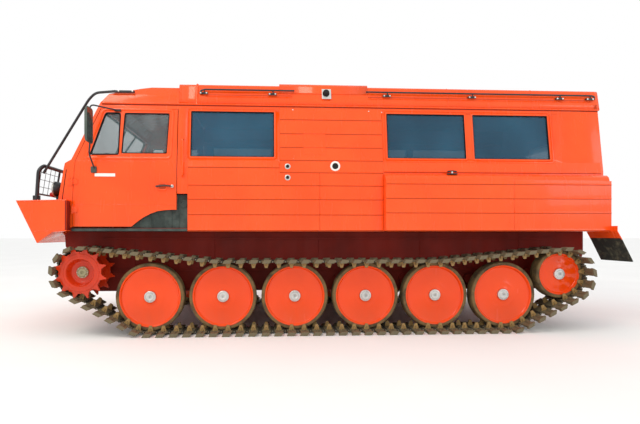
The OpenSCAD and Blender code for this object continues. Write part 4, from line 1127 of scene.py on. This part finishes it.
LOWER = [1.104, 1.276, 1.443, 1.596, 1.739]
MIDDLE = [1.739, 1.874, 2.020, 2.175, 2.336, 2.470]
WINDOWS = [(-1.536, -0.620), (0.638, 1.536), (1.628, 2.508)]
WIN_Z = (1.912, 2.427)
for side, s in SIDES:
    wall_copy = refined(f"body_side_{side}_sheet", f"body_side_{side}", 3 * MM, orange_enamel)
    opened(wall_copy, [slab("opening", (x0, s * (gutter_y - 0.1), WIN_Z[0]),
        (x1, s * (waist_y + 0.02), WIN_Z[1]), orange_enamel) for x0, x1 in WINDOWS])
    place_piece(wall_copy, "chassis", "orange_paint", f"body_side_{side}")
    planks = [plank("p", -1.560, -0.122, a, b, orange_enamel, s) for a, b in zip(LOWER, LOWER[1:])]
    planks += [plank("p", -0.118, 0.586, a, b, orange_enamel, s) for a, b in zip(LOWER, LOWER[1:])]
    planks += [plank("p", -0.561, 0.586, a, b, orange_enamel, s) for a, b in zip(MIDDLE, MIDDLE[1:])]
    planks += [plank("p", -1.560, -0.566, 1.790, 1.868, orange_enamel, s),
        plank("p", 0.592, rear_x - 0.05, 1.752, 1.880, orange_enamel, s)]
    patch = [wall_pane("patch", rectangle(-0.301, -0.053, 1.944, 2.179), 5 * MM, 3 * MM, 6 * MM,
        orange_enamel, s)]
    seams = [wall_tube("seam", [(x, z0), (x, z1)], 2.5 * MM, 0.0, orange_enamel, s) for x, z0,
        z1 in ((-0.563, 1.79, 2.48), (0.589, 1.10, 2.48), (-1.560, 1.51, 2.48))]
    fit(f"planking_{side}", planks + patch + seams, "chassis", "orange_paint")
    frames = [wall_pane("mullion", rectangle(WINDOWS[1][1] + 0.002, WINDOWS[2][0] - 0.002, *WIN_Z),
        1 * MM, 24 * MM, 4 * MM, orange_enamel, s)]
    gaskets = []
    for x0, x1 in WINDOWS:
        out = rectangle(x0, x1, *WIN_Z)
        frames.append(wall_ring("frame", out, [(-0.002, -0.014), (-0.002, 0.003), (0.004, 0.007),
            (0.014, 0.007), (0.020, 0.002), (0.022, -0.004)], 0.012, orange_enamel, s))
        gaskets.append(wall_ring("gasket", out, [(-0.010, -0.004), (-0.007, 0.001), (-0.001, 0.002),
            (-0.001, -0.020), (-0.010, -0.020)], 0.012, seal_rubber, s))
        place_piece(wall_pane(f"side_glass_{side}_{round(x0 * 1000)}", grown(out, -0.004), -14 * MM,
            5 * MM, 0.012, window_glass, s), "chassis", "glass",
            *(["side_windows"] if s < 0 and x0 < 0 else []))
    pair = rectangle(WINDOWS[1][0] - 0.014, WINDOWS[2][1] + 0.014, WIN_Z[0] - 0.012, WIN_Z[1] + 0.014)
    frames.append(wall_ring("outer", pair, [(0.014, 0.0), (0.016, 0.005), (0.028, 0.005), (0.032, 0.0)],
        0.014, orange_enamel, s))
    fit(f"window_frames_{side}", frames, "chassis", "orange_paint")
    fit(f"window_gaskets_{side}", gaskets, "chassis", "flap_rubber")
    dots = screws("d", [(-0.413, 2.455), (0.441, 2.450), (-0.412, 1.900), (0.452, 1.898),
        (-0.199, 2.145), (0.588, 2.44)], 7 * MM, 1.5 * MM, bolt_steel, s)
    row = screws("r", [(0.68 + 0.25 * k, 1.800) for k in range(6)], 6 * MM, 3 * MM, orange_enamel, s)
    fit(f"side_screws_{side}", [dots, row], "chassis", "zinc")
    sleeves = []
    for z in (1.811, 1.689):
        at = (-0.476, s * (waist_y if z < waist_z else on_wall(0, z, 0, 1).y), z)
        sleeves.append(lathe("ring", mm_points([(17, -30), (17, 10), (19, 14), (25, 14), (31, 11),
            (33, 0)], s), at, bolt_steel, steps=40))
        sleeves.append(lathe("sleeve_shade_disc", mm_points([(17.5, 9), (12, 8.5), (0, 8.5)], s), at, opening_shade_black,
            steps=32))
    port = (0.050, s * on_wall(0, 1.818, 0, 1).y, 1.818)
    sleeves.append(lathe("ring", mm_points([(34, -36), (34, 10), (38, 15), (49, 15), (54, 11), (56, 0)],
        s), port, reflector, steps=56))
    sleeves.append(lathe("duct", mm_points([(34.5, 9), (30, 8.5), (0, 8.5)], s), port, opening_shade_black,
        steps=40))
    z_vent = gutter_z + 0.140
    y_vent = gutter_y - 0.012
    plate = slab("plate", (-0.086, -0.003, -0.064), (0.018, 0.003, 0.060), bolt_steel)
    cowl = lathe("cowl", mm_points([(0, 46), (22, 44), (34, 30), (38, 8), (40, 0)]), (-0.039, 0, 0.004),
        opening_shade_black, steps=40)
    vent = joined(f"roof_vent_{side}", [plate, cowl])
    vent.data.transform(Matrix.Translation((0, s * y_vent, z_vent)) @ Matrix.Diagonal((1, s, 1,
        1)) @ Matrix.Rotation(math.radians(16), 4, "X"))
    if s < 0:
        vent.data.flip_normals()
    place_piece(vent, "chassis", "zinc")
    fit(f"port_sleeves_{side}", sleeves, "chassis", "zinc", *(["side_fittings"] if s < 0 else []))
print("side walls clad")

# %% [markdown]
# Behind the middle of the vehicle the lower side steps out into lockers with a rounded shoulder. They
# are clad in the same planks and riveted in rows; a folding T-handle opens the long flap.
# %% Side lockers
box_y = box_high.y
box_top = box_high.z
for side, s in SIDES:
    dress(f"side_box_{side}_sheet", f"side_box_{side}", 8 * MM, orange_enamel, "chassis",
        "orange_paint", segments=4, angle=12, smooth=60)
    rows = [1.104, 1.296, 1.454, 1.611, box_top - 0.074]
    lap = [plank("p", box_low.x + 0.004, 2.02, a, b, orange_enamel, s, box_y) for a,
        b in zip(rows, rows[1:])]
    lap += [plank("p", 2.024, rear_x - 0.008, a, b, orange_enamel, s, box_y) for a,
        b in zip(rows, rows[1:])]
    fit(f"locker_planks_{side}", lap, "chassis", "orange_paint")
    places = [(x, z) for x in (0.655, 1.965, 2.06) for z in (1.205, 1.375, 1.53, 1.645)]
    places += [(0.70 + 0.27 * k, 1.135) for k in range(6)]
    place_piece(screws(f"locker_rivets_{side}", places, 6 * MM, 3.5 * MM, orange_enamel, s, box_y),
        "chassis", "orange_paint")
    t_y = s * (box_y - 0.030)
    handle = [slab("plate", (1.276, t_y - 0.012, box_top - 0.010),
        (1.390, t_y + 0.012, box_top + 0.004), black_coat, 4 * MM),
        tube("tee", [(1.281, t_y, box_top + 0.022), (1.333, t_y, box_top + 0.030),
        (1.385, t_y, box_top + 0.022)], 8 * MM, black_coat, 0.02),
        lathe("stem", [(0.010, 0.0), (0.010, 0.024), (0, 0.026)], (1.333, t_y, box_top), bolt_steel,
        "Z", 20)]
    fit(f"locker_latch_{side}", handle, "chassis", "black_tube")

# %% [markdown]
# Below the door a rubber sill and the dark wheel-arch liner show. The liner is moulded with ribs that
# stiffen it, and carries a round boss where the air intake passes through.
# %% Sills and liners
for side, s in SIDES:
    dress(f"sill_liner_{side}_rubber", f"sill_liner_{side}", 3 * MM, liner_rubber, "chassis",
        "flap_rubber")
    y = s * (waist_y - WALL - 0.019)
    ribs = [slab("rib", (x - 0.007, y - 0.006, 1.14), (x + 0.007, y + 0.010, 1.48), liner_rubber,
        4 * MM) for x in (-1.66, -1.74, -1.83, -1.95, -2.08)]
    ribs.append(lathe("boss", mm_points([(46, 0), (44, 10), (34, 12), (30, 4), (0, 2)], s),
        (-1.61, y, 1.40), liner_rubber, steps=40))
    arch = [(-2.170, 1.150), (-2.110, 1.200), (-2.040, 1.252), (-1.960, 1.296), (-1.880, 1.326),
        (-1.790, 1.339), (-1.690, 1.344)]
    ribs.append(tube("arch", [Vector((x, s * (waist_y - 0.022), z)) for x, z in arch], 9 * MM,
        seal_rubber, 0.03))
    fit(f"liner_ribs_{side}", ribs, "chassis", "flap_rubber")

# %% [markdown]
# The roof is one crowned sheet. Its section is a smooth run through the CAD's corner points, drawn out
# along the body, with an opening left under the hatch, and then given thickness by Solidify.
# %% Roof
hatch_low, hatch_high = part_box("roof_hatch")
HATCH_X = (-0.520, 0.400)
HATCH_Y = 0.420
half = fillet([(gutter_y, gutter_z, 0), (gutter_y - 0.020, gutter_z + 0.100, 0),
    (gutter_y - 0.048, roof_z - 0.014, 0), (gutter_y - 0.250, roof_z - 0.010, 0),
    (HATCH_Y, roof_z - 0.0093, 0), (0, roof_z, 0)], 0.035, 6)
section = [(p.x, p.y) for p in half] + [(-p.x, p.y) for p in reversed(half[:-1])]
stations = sorted({cab_rear_x, -1.48, -1.47, HATCH_X[0], HATCH_X[1], 1.5, rear_x - 0.04, rear_x})
mesh = bmesh.new()
grid = [[mesh.verts.new((x, y, z)) for y, z in section] for x in stations]
for i in range(len(stations) - 1):
    for k in range(len(section) - 1):
        ys = (section[k][0] + section[k + 1][0]) / 2
        inside = HATCH_X[0] - MM < stations[i] < HATCH_X[1] - MM and abs(ys) < HATCH_Y - 0.03
        if not inside:
            mesh.faces.new((grid[i][k], grid[i][k + 1], grid[i + 1][k + 1], grid[i + 1][k]))
bmesh.ops.delete(mesh, geom=[v for v in mesh.verts if not v.link_faces], context="VERTS")
roof = from_bmesh("roof_skin", mesh, orange_enamel, 50)
thick = roof.modifiers.new("Sheet", "SOLIDIFY")
thick.thickness, thick.offset = 30 * MM, 1.0 if roof.data.polygons[0].normal.z < 0 else -1.0
place_piece(roof, "chassis", "orange_paint", "body_roof")
ribs = []
for x, thick_mm in ((-1.475, 13), (1.36, 4), (2.35, 4)):
    loop = [Vector((x, y, z)) for y, z in section]
    ribs.append(tube("rib", loop, thick_mm * MM, orange_enamel, 0.01))
fit("roof_ribs", ribs, "chassis", "orange_paint")
step_points = [(y * 0.995, z + 0.016) for y, z in section if abs(y) < gutter_y - 0.024
    and abs(y) > HATCH_Y + 0.04]
for side, s in SIDES:
    run = sorted([(y, z) for y, z in step_points if y * s > 0], key=lambda p: abs(p[0]))
    mesh = bmesh.new()
    rows = [[mesh.verts.new((x, y, z)) for y, z in run] for x in (-0.563, 0.436)]
    ladder(mesh, *rows, closed=False)
    panel = from_bmesh(f"raised_roof_{side}", mesh, orange_enamel, 50)
    lift = panel.modifiers.new("Sheet", "SOLIDIFY")
    lift.thickness, lift.offset = 16 * MM, 0.0
    place_piece(panel, "chassis", "orange_paint")
dress("roof_hatch_lid", "roof_hatch", 7 * MM, orange_enamel, "roof_hatch_body", "orange_paint")
lid_bits = [slab("swage", (x, hatch_low.y + 0.07, hatch_low.z + 0.024),
    (x + 0.05, hatch_high.y - 0.07, hatch_low.z + 0.031), orange_enamel, 3 * MM, 3)
    for x in (-0.36, -0.16, 0.04, 0.24)]
lid_bits.append(tube("grip", [(0.33, -0.08, hatch_low.z + 0.026), (0.33, -0.08, hatch_low.z + 0.034),
    (0.33, 0.08, hatch_low.z + 0.034), (0.33, 0.08, hatch_low.z + 0.026)], 5 * MM, black_coat, 0.01))
fit("roof_hatch_swages", lid_bits, "roof_hatch_body", "orange_paint")
rubber_run = [(HATCH_X[0] - 0.012, -HATCH_Y - 0.012), (HATCH_X[1] + 0.012, -HATCH_Y - 0.012),
    (HATCH_X[1] + 0.012, HATCH_Y + 0.012), (HATCH_X[0] - 0.012, HATCH_Y + 0.012)]
place_piece(tube("roof_hatch_seal", [(x, y, roof_z - 0.009) for x, y in rubber_run], 7 * MM,
    seal_rubber, 0.04, True), "chassis", "flap_rubber")

# %% [markdown]
# Load rails of black tube run along both edges of the roof. Each stands on a clamp with two bright
# bolts, and its ends turn down and back along the roof.
# %% Roof rails
rail_y, rail_z = gutter_y - 0.004, gutter_z + 0.166
RAIL_SHADOW_LINE_DROP = 0.060
rail_parts = []
for side, s in SIDES:
    y = s * rail_y
    front_rail = [(-1.412, y, rail_z - 0.045), (-1.442, y, rail_z - 0.020), (-1.392, y, rail_z),
        (-0.396, y, rail_z)]
    rear_rail = [(0.415, y, rail_z), (rear_x - 0.090, y, rail_z), (rear_x - 0.060, y, rail_z - 0.012),
        (rear_x - 0.065, y, rail_z - 0.045)]
    for run, posts in ((front_rail, (-1.40, -0.64)), (rear_rail, (0.652, 1.636, 2.670, 3.03))):
        rail_parts.append(tube("rail", run, 9 * MM, black_coat, 0.03))
        # Painted shadow: a thin tube in the darker orange enamel under each rail stands for the rail's
        # shadow line.
        rail_parts.append(tube("lower", [(run[0][0] + 0.02, s * (rail_y + 0.003), rail_z - RAIL_SHADOW_LINE_DROP),
            (run[-1][0] - 0.02, s * (rail_y + 0.003), rail_z - RAIL_SHADOW_LINE_DROP)], 4 * MM, painted_shade_orange_enamel))
        for x in posts:
            rail_parts.append(tube("post", [(x, y, rail_z), (x + 0.012, s * (rail_y - 0.004),
                rail_z - 0.026), (x, s * (rail_y - 0.010), rail_z - 0.040)], 7 * MM, black_coat))
            rail_parts.append(slab("shoe", (x - 0.045, s * (rail_y - 0.050), rail_z - 0.052),
                (x + 0.045, s * (rail_y + 0.002), rail_z - 0.030), black_coat))
            for dx in (-0.032, 0.032):
                rail_parts.append(lathe("bolt", mm_points([(0, 14), (9, 13), (10, 4), (10, 0)], s),
                    (x + dx, s * rail_y, rail_z - 0.041), bolt_steel, steps=6))
fit("roof_rail_tubes", rail_parts, "chassis", "black_tube", "roof_rails")
print("roof made")

# %% [markdown]
# The rear is a flat wall with one door hinged on the right. A rubber-sealed window, two hinges, a
# swing handle, lamps in each lower corner and a folded drip rail make it weathertight and legal.
# %% Rear wall and door
dress("rear_wall_sheet", "rear_wall", 8 * MM, orange_enamel, "chassis", "orange_paint")
dress("rear_door_sheet", "rear_door", 5 * MM, door_enamel, "rear_door_body", "orange_paint")


def rear_ring(name, y0, y1, z0, z1, radius, thick_mm, x, material):
    run = [(x, y0, z0), (x, y1, z0), (x, y1, z1), (x, y0, z1)]
    return tube(name, run, thick_mm * MM, material, radius, True)


trims = [rear_ring("press", -0.36, 0.36, 1.26, 1.82, 0.05, 5, rear_x, door_enamel),
    rear_ring("press", -0.33, 0.33, 1.29, 1.79, 0.04, 3, rear_x, door_enamel)]
fit("rear_door_pressing", trims, "rear_door_body", "orange_paint")
place_piece(rear_ring("rear_window_seal", -0.302, 0.302, 1.898, 2.282, 0.04, 9, rear_x - 0.006,
    seal_rubber), "rear_door_body", "flap_rubber")
dress("rear_window_pane", "rear_door_glass", 2 * MM, window_glass, "rear_door_body", "glass")
turn_handle = [lathe("boss", [(0.016, 0.006), (0.016, 0.026), (0.013, 0.032), (0, 0.033)],
    (rear_x, -0.350, 1.700), bolt_steel, "X", 40), tube("lever",
    [(rear_x + 0.022, -0.350, 1.700), (rear_x + 0.024, -0.300, 1.700), (rear_x + 0.020, -0.222, 1.700)],
    9 * MM, black_coat, 0.03)]
fit("rear_door_lever", turn_handle, "rear_door_handle_body", "black_tube", "rear_door_handle")
place_piece(rear_ring("rear_door_gap_seal", -0.422, 0.422, 1.178, 2.382, 0.02, 4, rear_x - 0.006,
    seal_rubber), "chassis", "flap_rubber")
for side, s in SIDES:
    bits = [slab("box", (rear_x + 0.001, s * 0.98 - 0.11, 1.24),
        (rear_x + 0.028, s * 0.98 + 0.11, 1.34), black_coat, 6 * MM, 3)]
    fit(f"tail_lamp_box_{side}", bits, "chassis", "black_tube")
    for colour, lens, y0, y1 in (("red", red_lens, -0.1, -0.003), ("amber", amber_lens, 0.003, 0.1)):
        lamp = slab(f"tail_lamp_{colour}_{side}", (rear_x + 0.026, s * 0.98 + y0, 1.25),
            (rear_x + 0.036, s * 0.98 + y1, 1.33), lens, 6 * MM, 3)
        place_piece(lamp, "chassis", "glass")
seams = [tube("seam", [(rear_x, y, 1.12), (rear_x, y, 2.50)], 3 * MM, orange_enamel)
    for y in (-0.80, 0.80)]
seams += [tube("seam", [(rear_x, y0, z), (rear_x, y1, z)], 3 * MM, orange_enamel) for z in (1.46, 1.78)
    for y0, y1 in ((-1.2, -0.45), (0.50, 1.2))]
seams.append(tube("drip", [(rear_x + 0.006, -0.48, 2.41), (rear_x + 0.006, 0.48, 2.41)], 9 * MM,
    orange_enamel))
fit("rear_wall_seams", seams, "chassis", "orange_paint")

# %% [markdown]
# Mudflaps are cut from conveyor rubber and clamped under a folded bracket by four bolts.
# %% Mudflaps
flaps = refined("mudflap_sheets", "mudflaps", 3 * MM, flap_rubber)
flaps.data.materials.append(orange_enamel)
for face in flaps.data.polygons:
    if face.center.x < rear_x + 0.03:
        face.material_index = 1
place_piece(flaps, "chassis", "flap_rubber", "mudflaps")
bolts = []
for side, s in SIDES:
    for k in range(4):
        y = s * (0.99 + 0.14 * k)
        bolts.append(lathe("b", [(0.011, 0.0), (0.011, 0.008), (0.008, 0.011), (0, 0.011)],
            (rear_x + 0.008, y, 1.135), bolt_steel, "X", 6))
fit("mudflap_bolts", bolts, "chassis", "zinc")

# %% [markdown]
# Cushions are foam in a sewn cover. The cover is cut tight, so the foam pushes it into a crown that a
# rounded box can't give. A closed mesh is blown up a little with cloth pressure, its movement is held
# to a few centimetres, and one subdivision makes the cloth smooth.
# %% Seats and benches
def cushion(name, low, high, round_by, cap):
    """A padded form between two corners, crowned by cloth pressure."""
    low, high = Vector(low), Vector(high)
    mesh = bmesh.new()
    bmesh.ops.create_cube(mesh, size=1.0)
    for v in mesh.verts:
        v.co = (low + high) / 2 + Vector([v.co[k] * (high[k] - low[k]) for k in range(3)])
    piece = from_bmesh(name, mesh, seat_cloth, 180)
    edges = piece.modifiers.new("Corners", "BEVEL")
    edges.width, edges.segments = round_by, 3
    remesh = piece.modifiers.new("Even", "REMESH")
    remesh.mode, remesh.voxel_size = "VOXEL", 22 * MM
    apply_all(piece)
    start = [v.co.copy() for v in piece.data.vertices]
    cloth = piece.modifiers.new("Foam", "CLOTH")
    cloth.settings.use_pressure, cloth.settings.uniform_pressure_force = True, 4.0
    cloth.settings.mass, cloth.settings.tension_stiffness = 0.3, 30.0
    cloth.settings.effector_weights.gravity = 0.0
    cloth.point_cache.frame_start, cloth.point_cache.frame_end = 1, SIM_FRAMES
    for frame_number in range(1, SIM_FRAMES + 1):
        bpy.context.scene.frame_set(frame_number)
    apply_all(piece)
    bpy.context.scene.frame_set(1)
    for vertex, before in zip(piece.data.vertices, start):
        move = vertex.co - before
        if move.length > cap:
            vertex.co = before + move.normalized() * cap
        for k in range(3):
            vertex.co[k] = min(max(vertex.co[k], low[k] - 4 * MM), high[k] + 4 * MM)
    smooth = piece.modifiers.new("Smooth", "SUBSURF")
    smooth.levels = smooth.render_levels = 1
    apply_all(piece)
    piece.data.shade_smooth()
    return piece


def apply_all(piece):
    """Makes the modifiers' result the piece's own mesh."""
    depsgraph = bpy.context.evaluated_depsgraph_get()
    data = bpy.data.meshes.new_from_object(piece.evaluated_get(depsgraph))
    piece.modifiers.clear()
    old, piece.data = piece.data, data
    bpy.data.meshes.remove(old)


SIM_FRAMES = 12
floor_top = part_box("body_floor")[1].z
seat_places = [("driver", -0.640, 0.50), ("crew", 0.560, 0.82)]
first = True
for who, y, w in seat_places:
    base = cushion(f"{who}_seat_cushion", (-2.226, y - w / 2 + 4 * MM, 1.345),
        (-1.860, y + w / 2 - 4 * MM, 1.468), 0.045, 24 * MM)
    back = cushion(f"{who}_seat_back", (-1.846, y - w / 2 + 4 * MM, 1.475),
        (-1.734, y + w / 2 - 4 * MM, 2.056), 0.045, 22 * MM)
    for piece in (base, back):
        place_piece(piece, "chassis", "seat_cover", *(["cab_seats"] if first else []))
        first = False
    pan = [slab("box", (-2.20, y - w / 2 + 0.03, floor_top + 1 * MM), (-1.80, y + w / 2 - 0.03, 1.325),
        cab_abs, 0.02, 3), slab("pan", (-2.228, y - w / 2 + 2 * MM, 1.318),
        (-1.85, y + w / 2 - 2 * MM, 1.342), cab_abs, 8 * MM)]
    fit(f"{who}_seat_box", pan, "chassis", "cab_plastic")
bench_low, bench_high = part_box("passenger_benches")
first = True
for side, s in SIDES:
    outer = bench_high.y
    for k in range(3):
        x0 = bench_low.x + k * (bench_high.x - bench_low.x) / 3 + 6 * MM
        x1 = bench_low.x + (k + 1) * (bench_high.x - bench_low.x) / 3 - 6 * MM
        ys = sorted((s * 0.764, s * (outer - 0.004)))
        base = cushion(f"bench_{side}_{k + 1}_cushion", (x0, ys[0], 1.385), (x1, ys[1], 1.497), 0.04,
            24 * MM)
        ys = sorted((s * (outer - 0.104), s * (outer - 0.004)))
        back = cushion(f"bench_{side}_{k + 1}_back", (x0, ys[0], 1.506), (x1, ys[1], 1.756), 0.035,
            22 * MM)
        for piece in (base, back):
            place_piece(piece, "chassis", "seat_cover", *(["passenger_benches"] if first else []))
            first = False
    ys = sorted((s * 0.80, s * (outer - 0.01)))
    chest = [slab("chest", (bench_low.x + 0.01, ys[0], floor_top + 1 * MM),
        (bench_high.x - 0.01, ys[1], 1.370), cab_abs, 0.01, 2)]
    fit(f"bench_chest_{side}", chest, "chassis", "cab_plastic")
print("cushions crowned")

# %% [markdown]
# The steering wheel is a steel ring moulded in black plastic with three spokes. The dashboard is one
# padded moulding with a hood over the dials.
# %% Dashboard and steering wheel
dress("dashboard_moulding", "dashboard", 25 * MM, cab_abs, "chassis", "cab_plastic", segments=4)
dials = []
for k, y in enumerate((-0.78, -0.64, -0.50)):
    dials.append(lathe("dial", [(0.045, 0.0), (0.045, 0.008), (0.040, 0.010), (0.038, 0.004),
        (0, 0.003)], (-2.520, y, 1.72), bolt_steel, "X", 32))
hood = slab("hood", (-2.60, -0.90, 1.792), (-2.50, -0.38, 1.806), cab_abs, 6 * MM, 3)
fit("dash_dials", dials + [hood], "chassis", "cab_plastic")
steer_low, steer_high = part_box("steering_wheel")
hub = (steer_low + steer_high) / 2
ring_points = [(0.205 + 0.014 * math.cos(a), 0.014 * math.sin(a))
    for a in [2 * math.pi * k / 16 for k in range(16)]]
steer = [lathe("rim", ring_points, (0, 0, 0), cab_abs, "Z", 72, True),
    lathe("hub", [(0.0, 0.016), (0.034, 0.014), (0.048, 0.006), (0.050, -0.010), (0, -0.012)],
    (0, 0, 0), cab_abs, "Z", 40)]
for a in (0, 120, 240):
    c = math.radians(a)
    steer.append(tube("spoke", [(0.03 * math.cos(c), 0.03 * math.sin(c), -0.002),
        (0.12 * math.cos(c), 0.12 * math.sin(c), -0.006), (0.200 * math.cos(c), 0.200 * math.sin(c),
        0)], 9 * MM, cab_abs, 0.03))
steering = joined("steering_wheel_moulding", steer)
steering.data.transform(Matrix.Translation(hub) @ Matrix.Rotation(math.radians(45), 4, "Y"))
place_piece(steering, "steering_body", "cab_plastic", "steering_wheel")

# %% [markdown]
# The finishes are done when no bare CAD shape is left without one. Any node that still shows takes the
# body's orange enamel.
# %% Finishes for what is left
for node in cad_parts.values():
    if node.material_slots:
        node.material_slots[0].material = orange_enamel
print("nodes finished:", len(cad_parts))

# %% [markdown]
# The stage is a wide floor of pale paper under a white sky. A soft key light stands above and ahead of
# the near side and a weak fill stands towards the rear. The bright even sky gives the enamel its long
# soft highlights.
# %% Stage, lights and camera
paper, paper_tree, paper_shader, paper_place = new_material("Pale_paper_floor", Roughness=0.9)
paper_shader.inputs["Specular IOR Level"].default_value = 0.1
fibre = add(paper_tree, "TexNoise", Vector=paper_place, Scale=0.6, Detail=3.0)
link(paper_tree, ramp(paper_tree, fibre.outputs["Fac"], [(0.3, "#F4F4F3"), (0.7, "#F8F8F7")]),
    paper_shader, "Base Color")
mesh = bmesh.new()
corner = [mesh.verts.new((x, y, -1 * MM)) for x, y in ((-150, -150), (150, -150), (150, 150),
    (-150, 150))]
mesh.faces.new(corner)
floor = from_bmesh("paper_floor", mesh, paper, 60)

world = bpy.data.worlds.new("Studio")
bpy.context.scene.world = world
world.use_nodes = True
world.node_tree.nodes["Background"].inputs["Color"].default_value = srgb("#FFFFFF")
world.node_tree.nodes["Background"].inputs["Strength"].default_value = 1.0


def area_light(name, place, aim, width, height, power, colour="#FFFFFF"):
    data = bpy.data.lights.new(name, "AREA")
    data.shape, data.size, data.size_y, data.energy = "RECTANGLE", width, height, power
    data.color = srgb(colour)[:3]
    lamp = bpy.data.objects.new(name, data)
    bpy.context.scene.collection.objects.link(lamp)
    lamp.location = place
    lamp.rotation_euler = (Vector(aim) - Vector(place)).to_track_quat("-Z", "Y").to_euler()
    return lamp


area_light("key", (-6.0, -7.0, 9.0), (-0.6, 0, 1.4), 5, 4, 420, "#FFF4E6")
area_light("fill", (8.0, -8.0, 4.0), (0.5, 0, 1.2), 3, 3, 60, "#F2F6FF")

camera_data = bpy.data.cameras.new("Camera")
camera_data.lens, camera_data.sensor_width = 28.0, 36.0
camera_data.shift_x, camera_data.shift_y = 0.0408, 0.0359
camera_data.dof.use_dof = False
camera = bpy.data.objects.new("Camera", camera_data)
bpy.context.scene.collection.objects.link(camera)
camera.location = (-0.723, -6.70, 1.06)
camera.rotation_euler = (math.radians(90), 0, math.radians(-3.32))
bpy.context.scene.camera = camera
bpy.context.scene.view_settings.view_transform = "Standard"
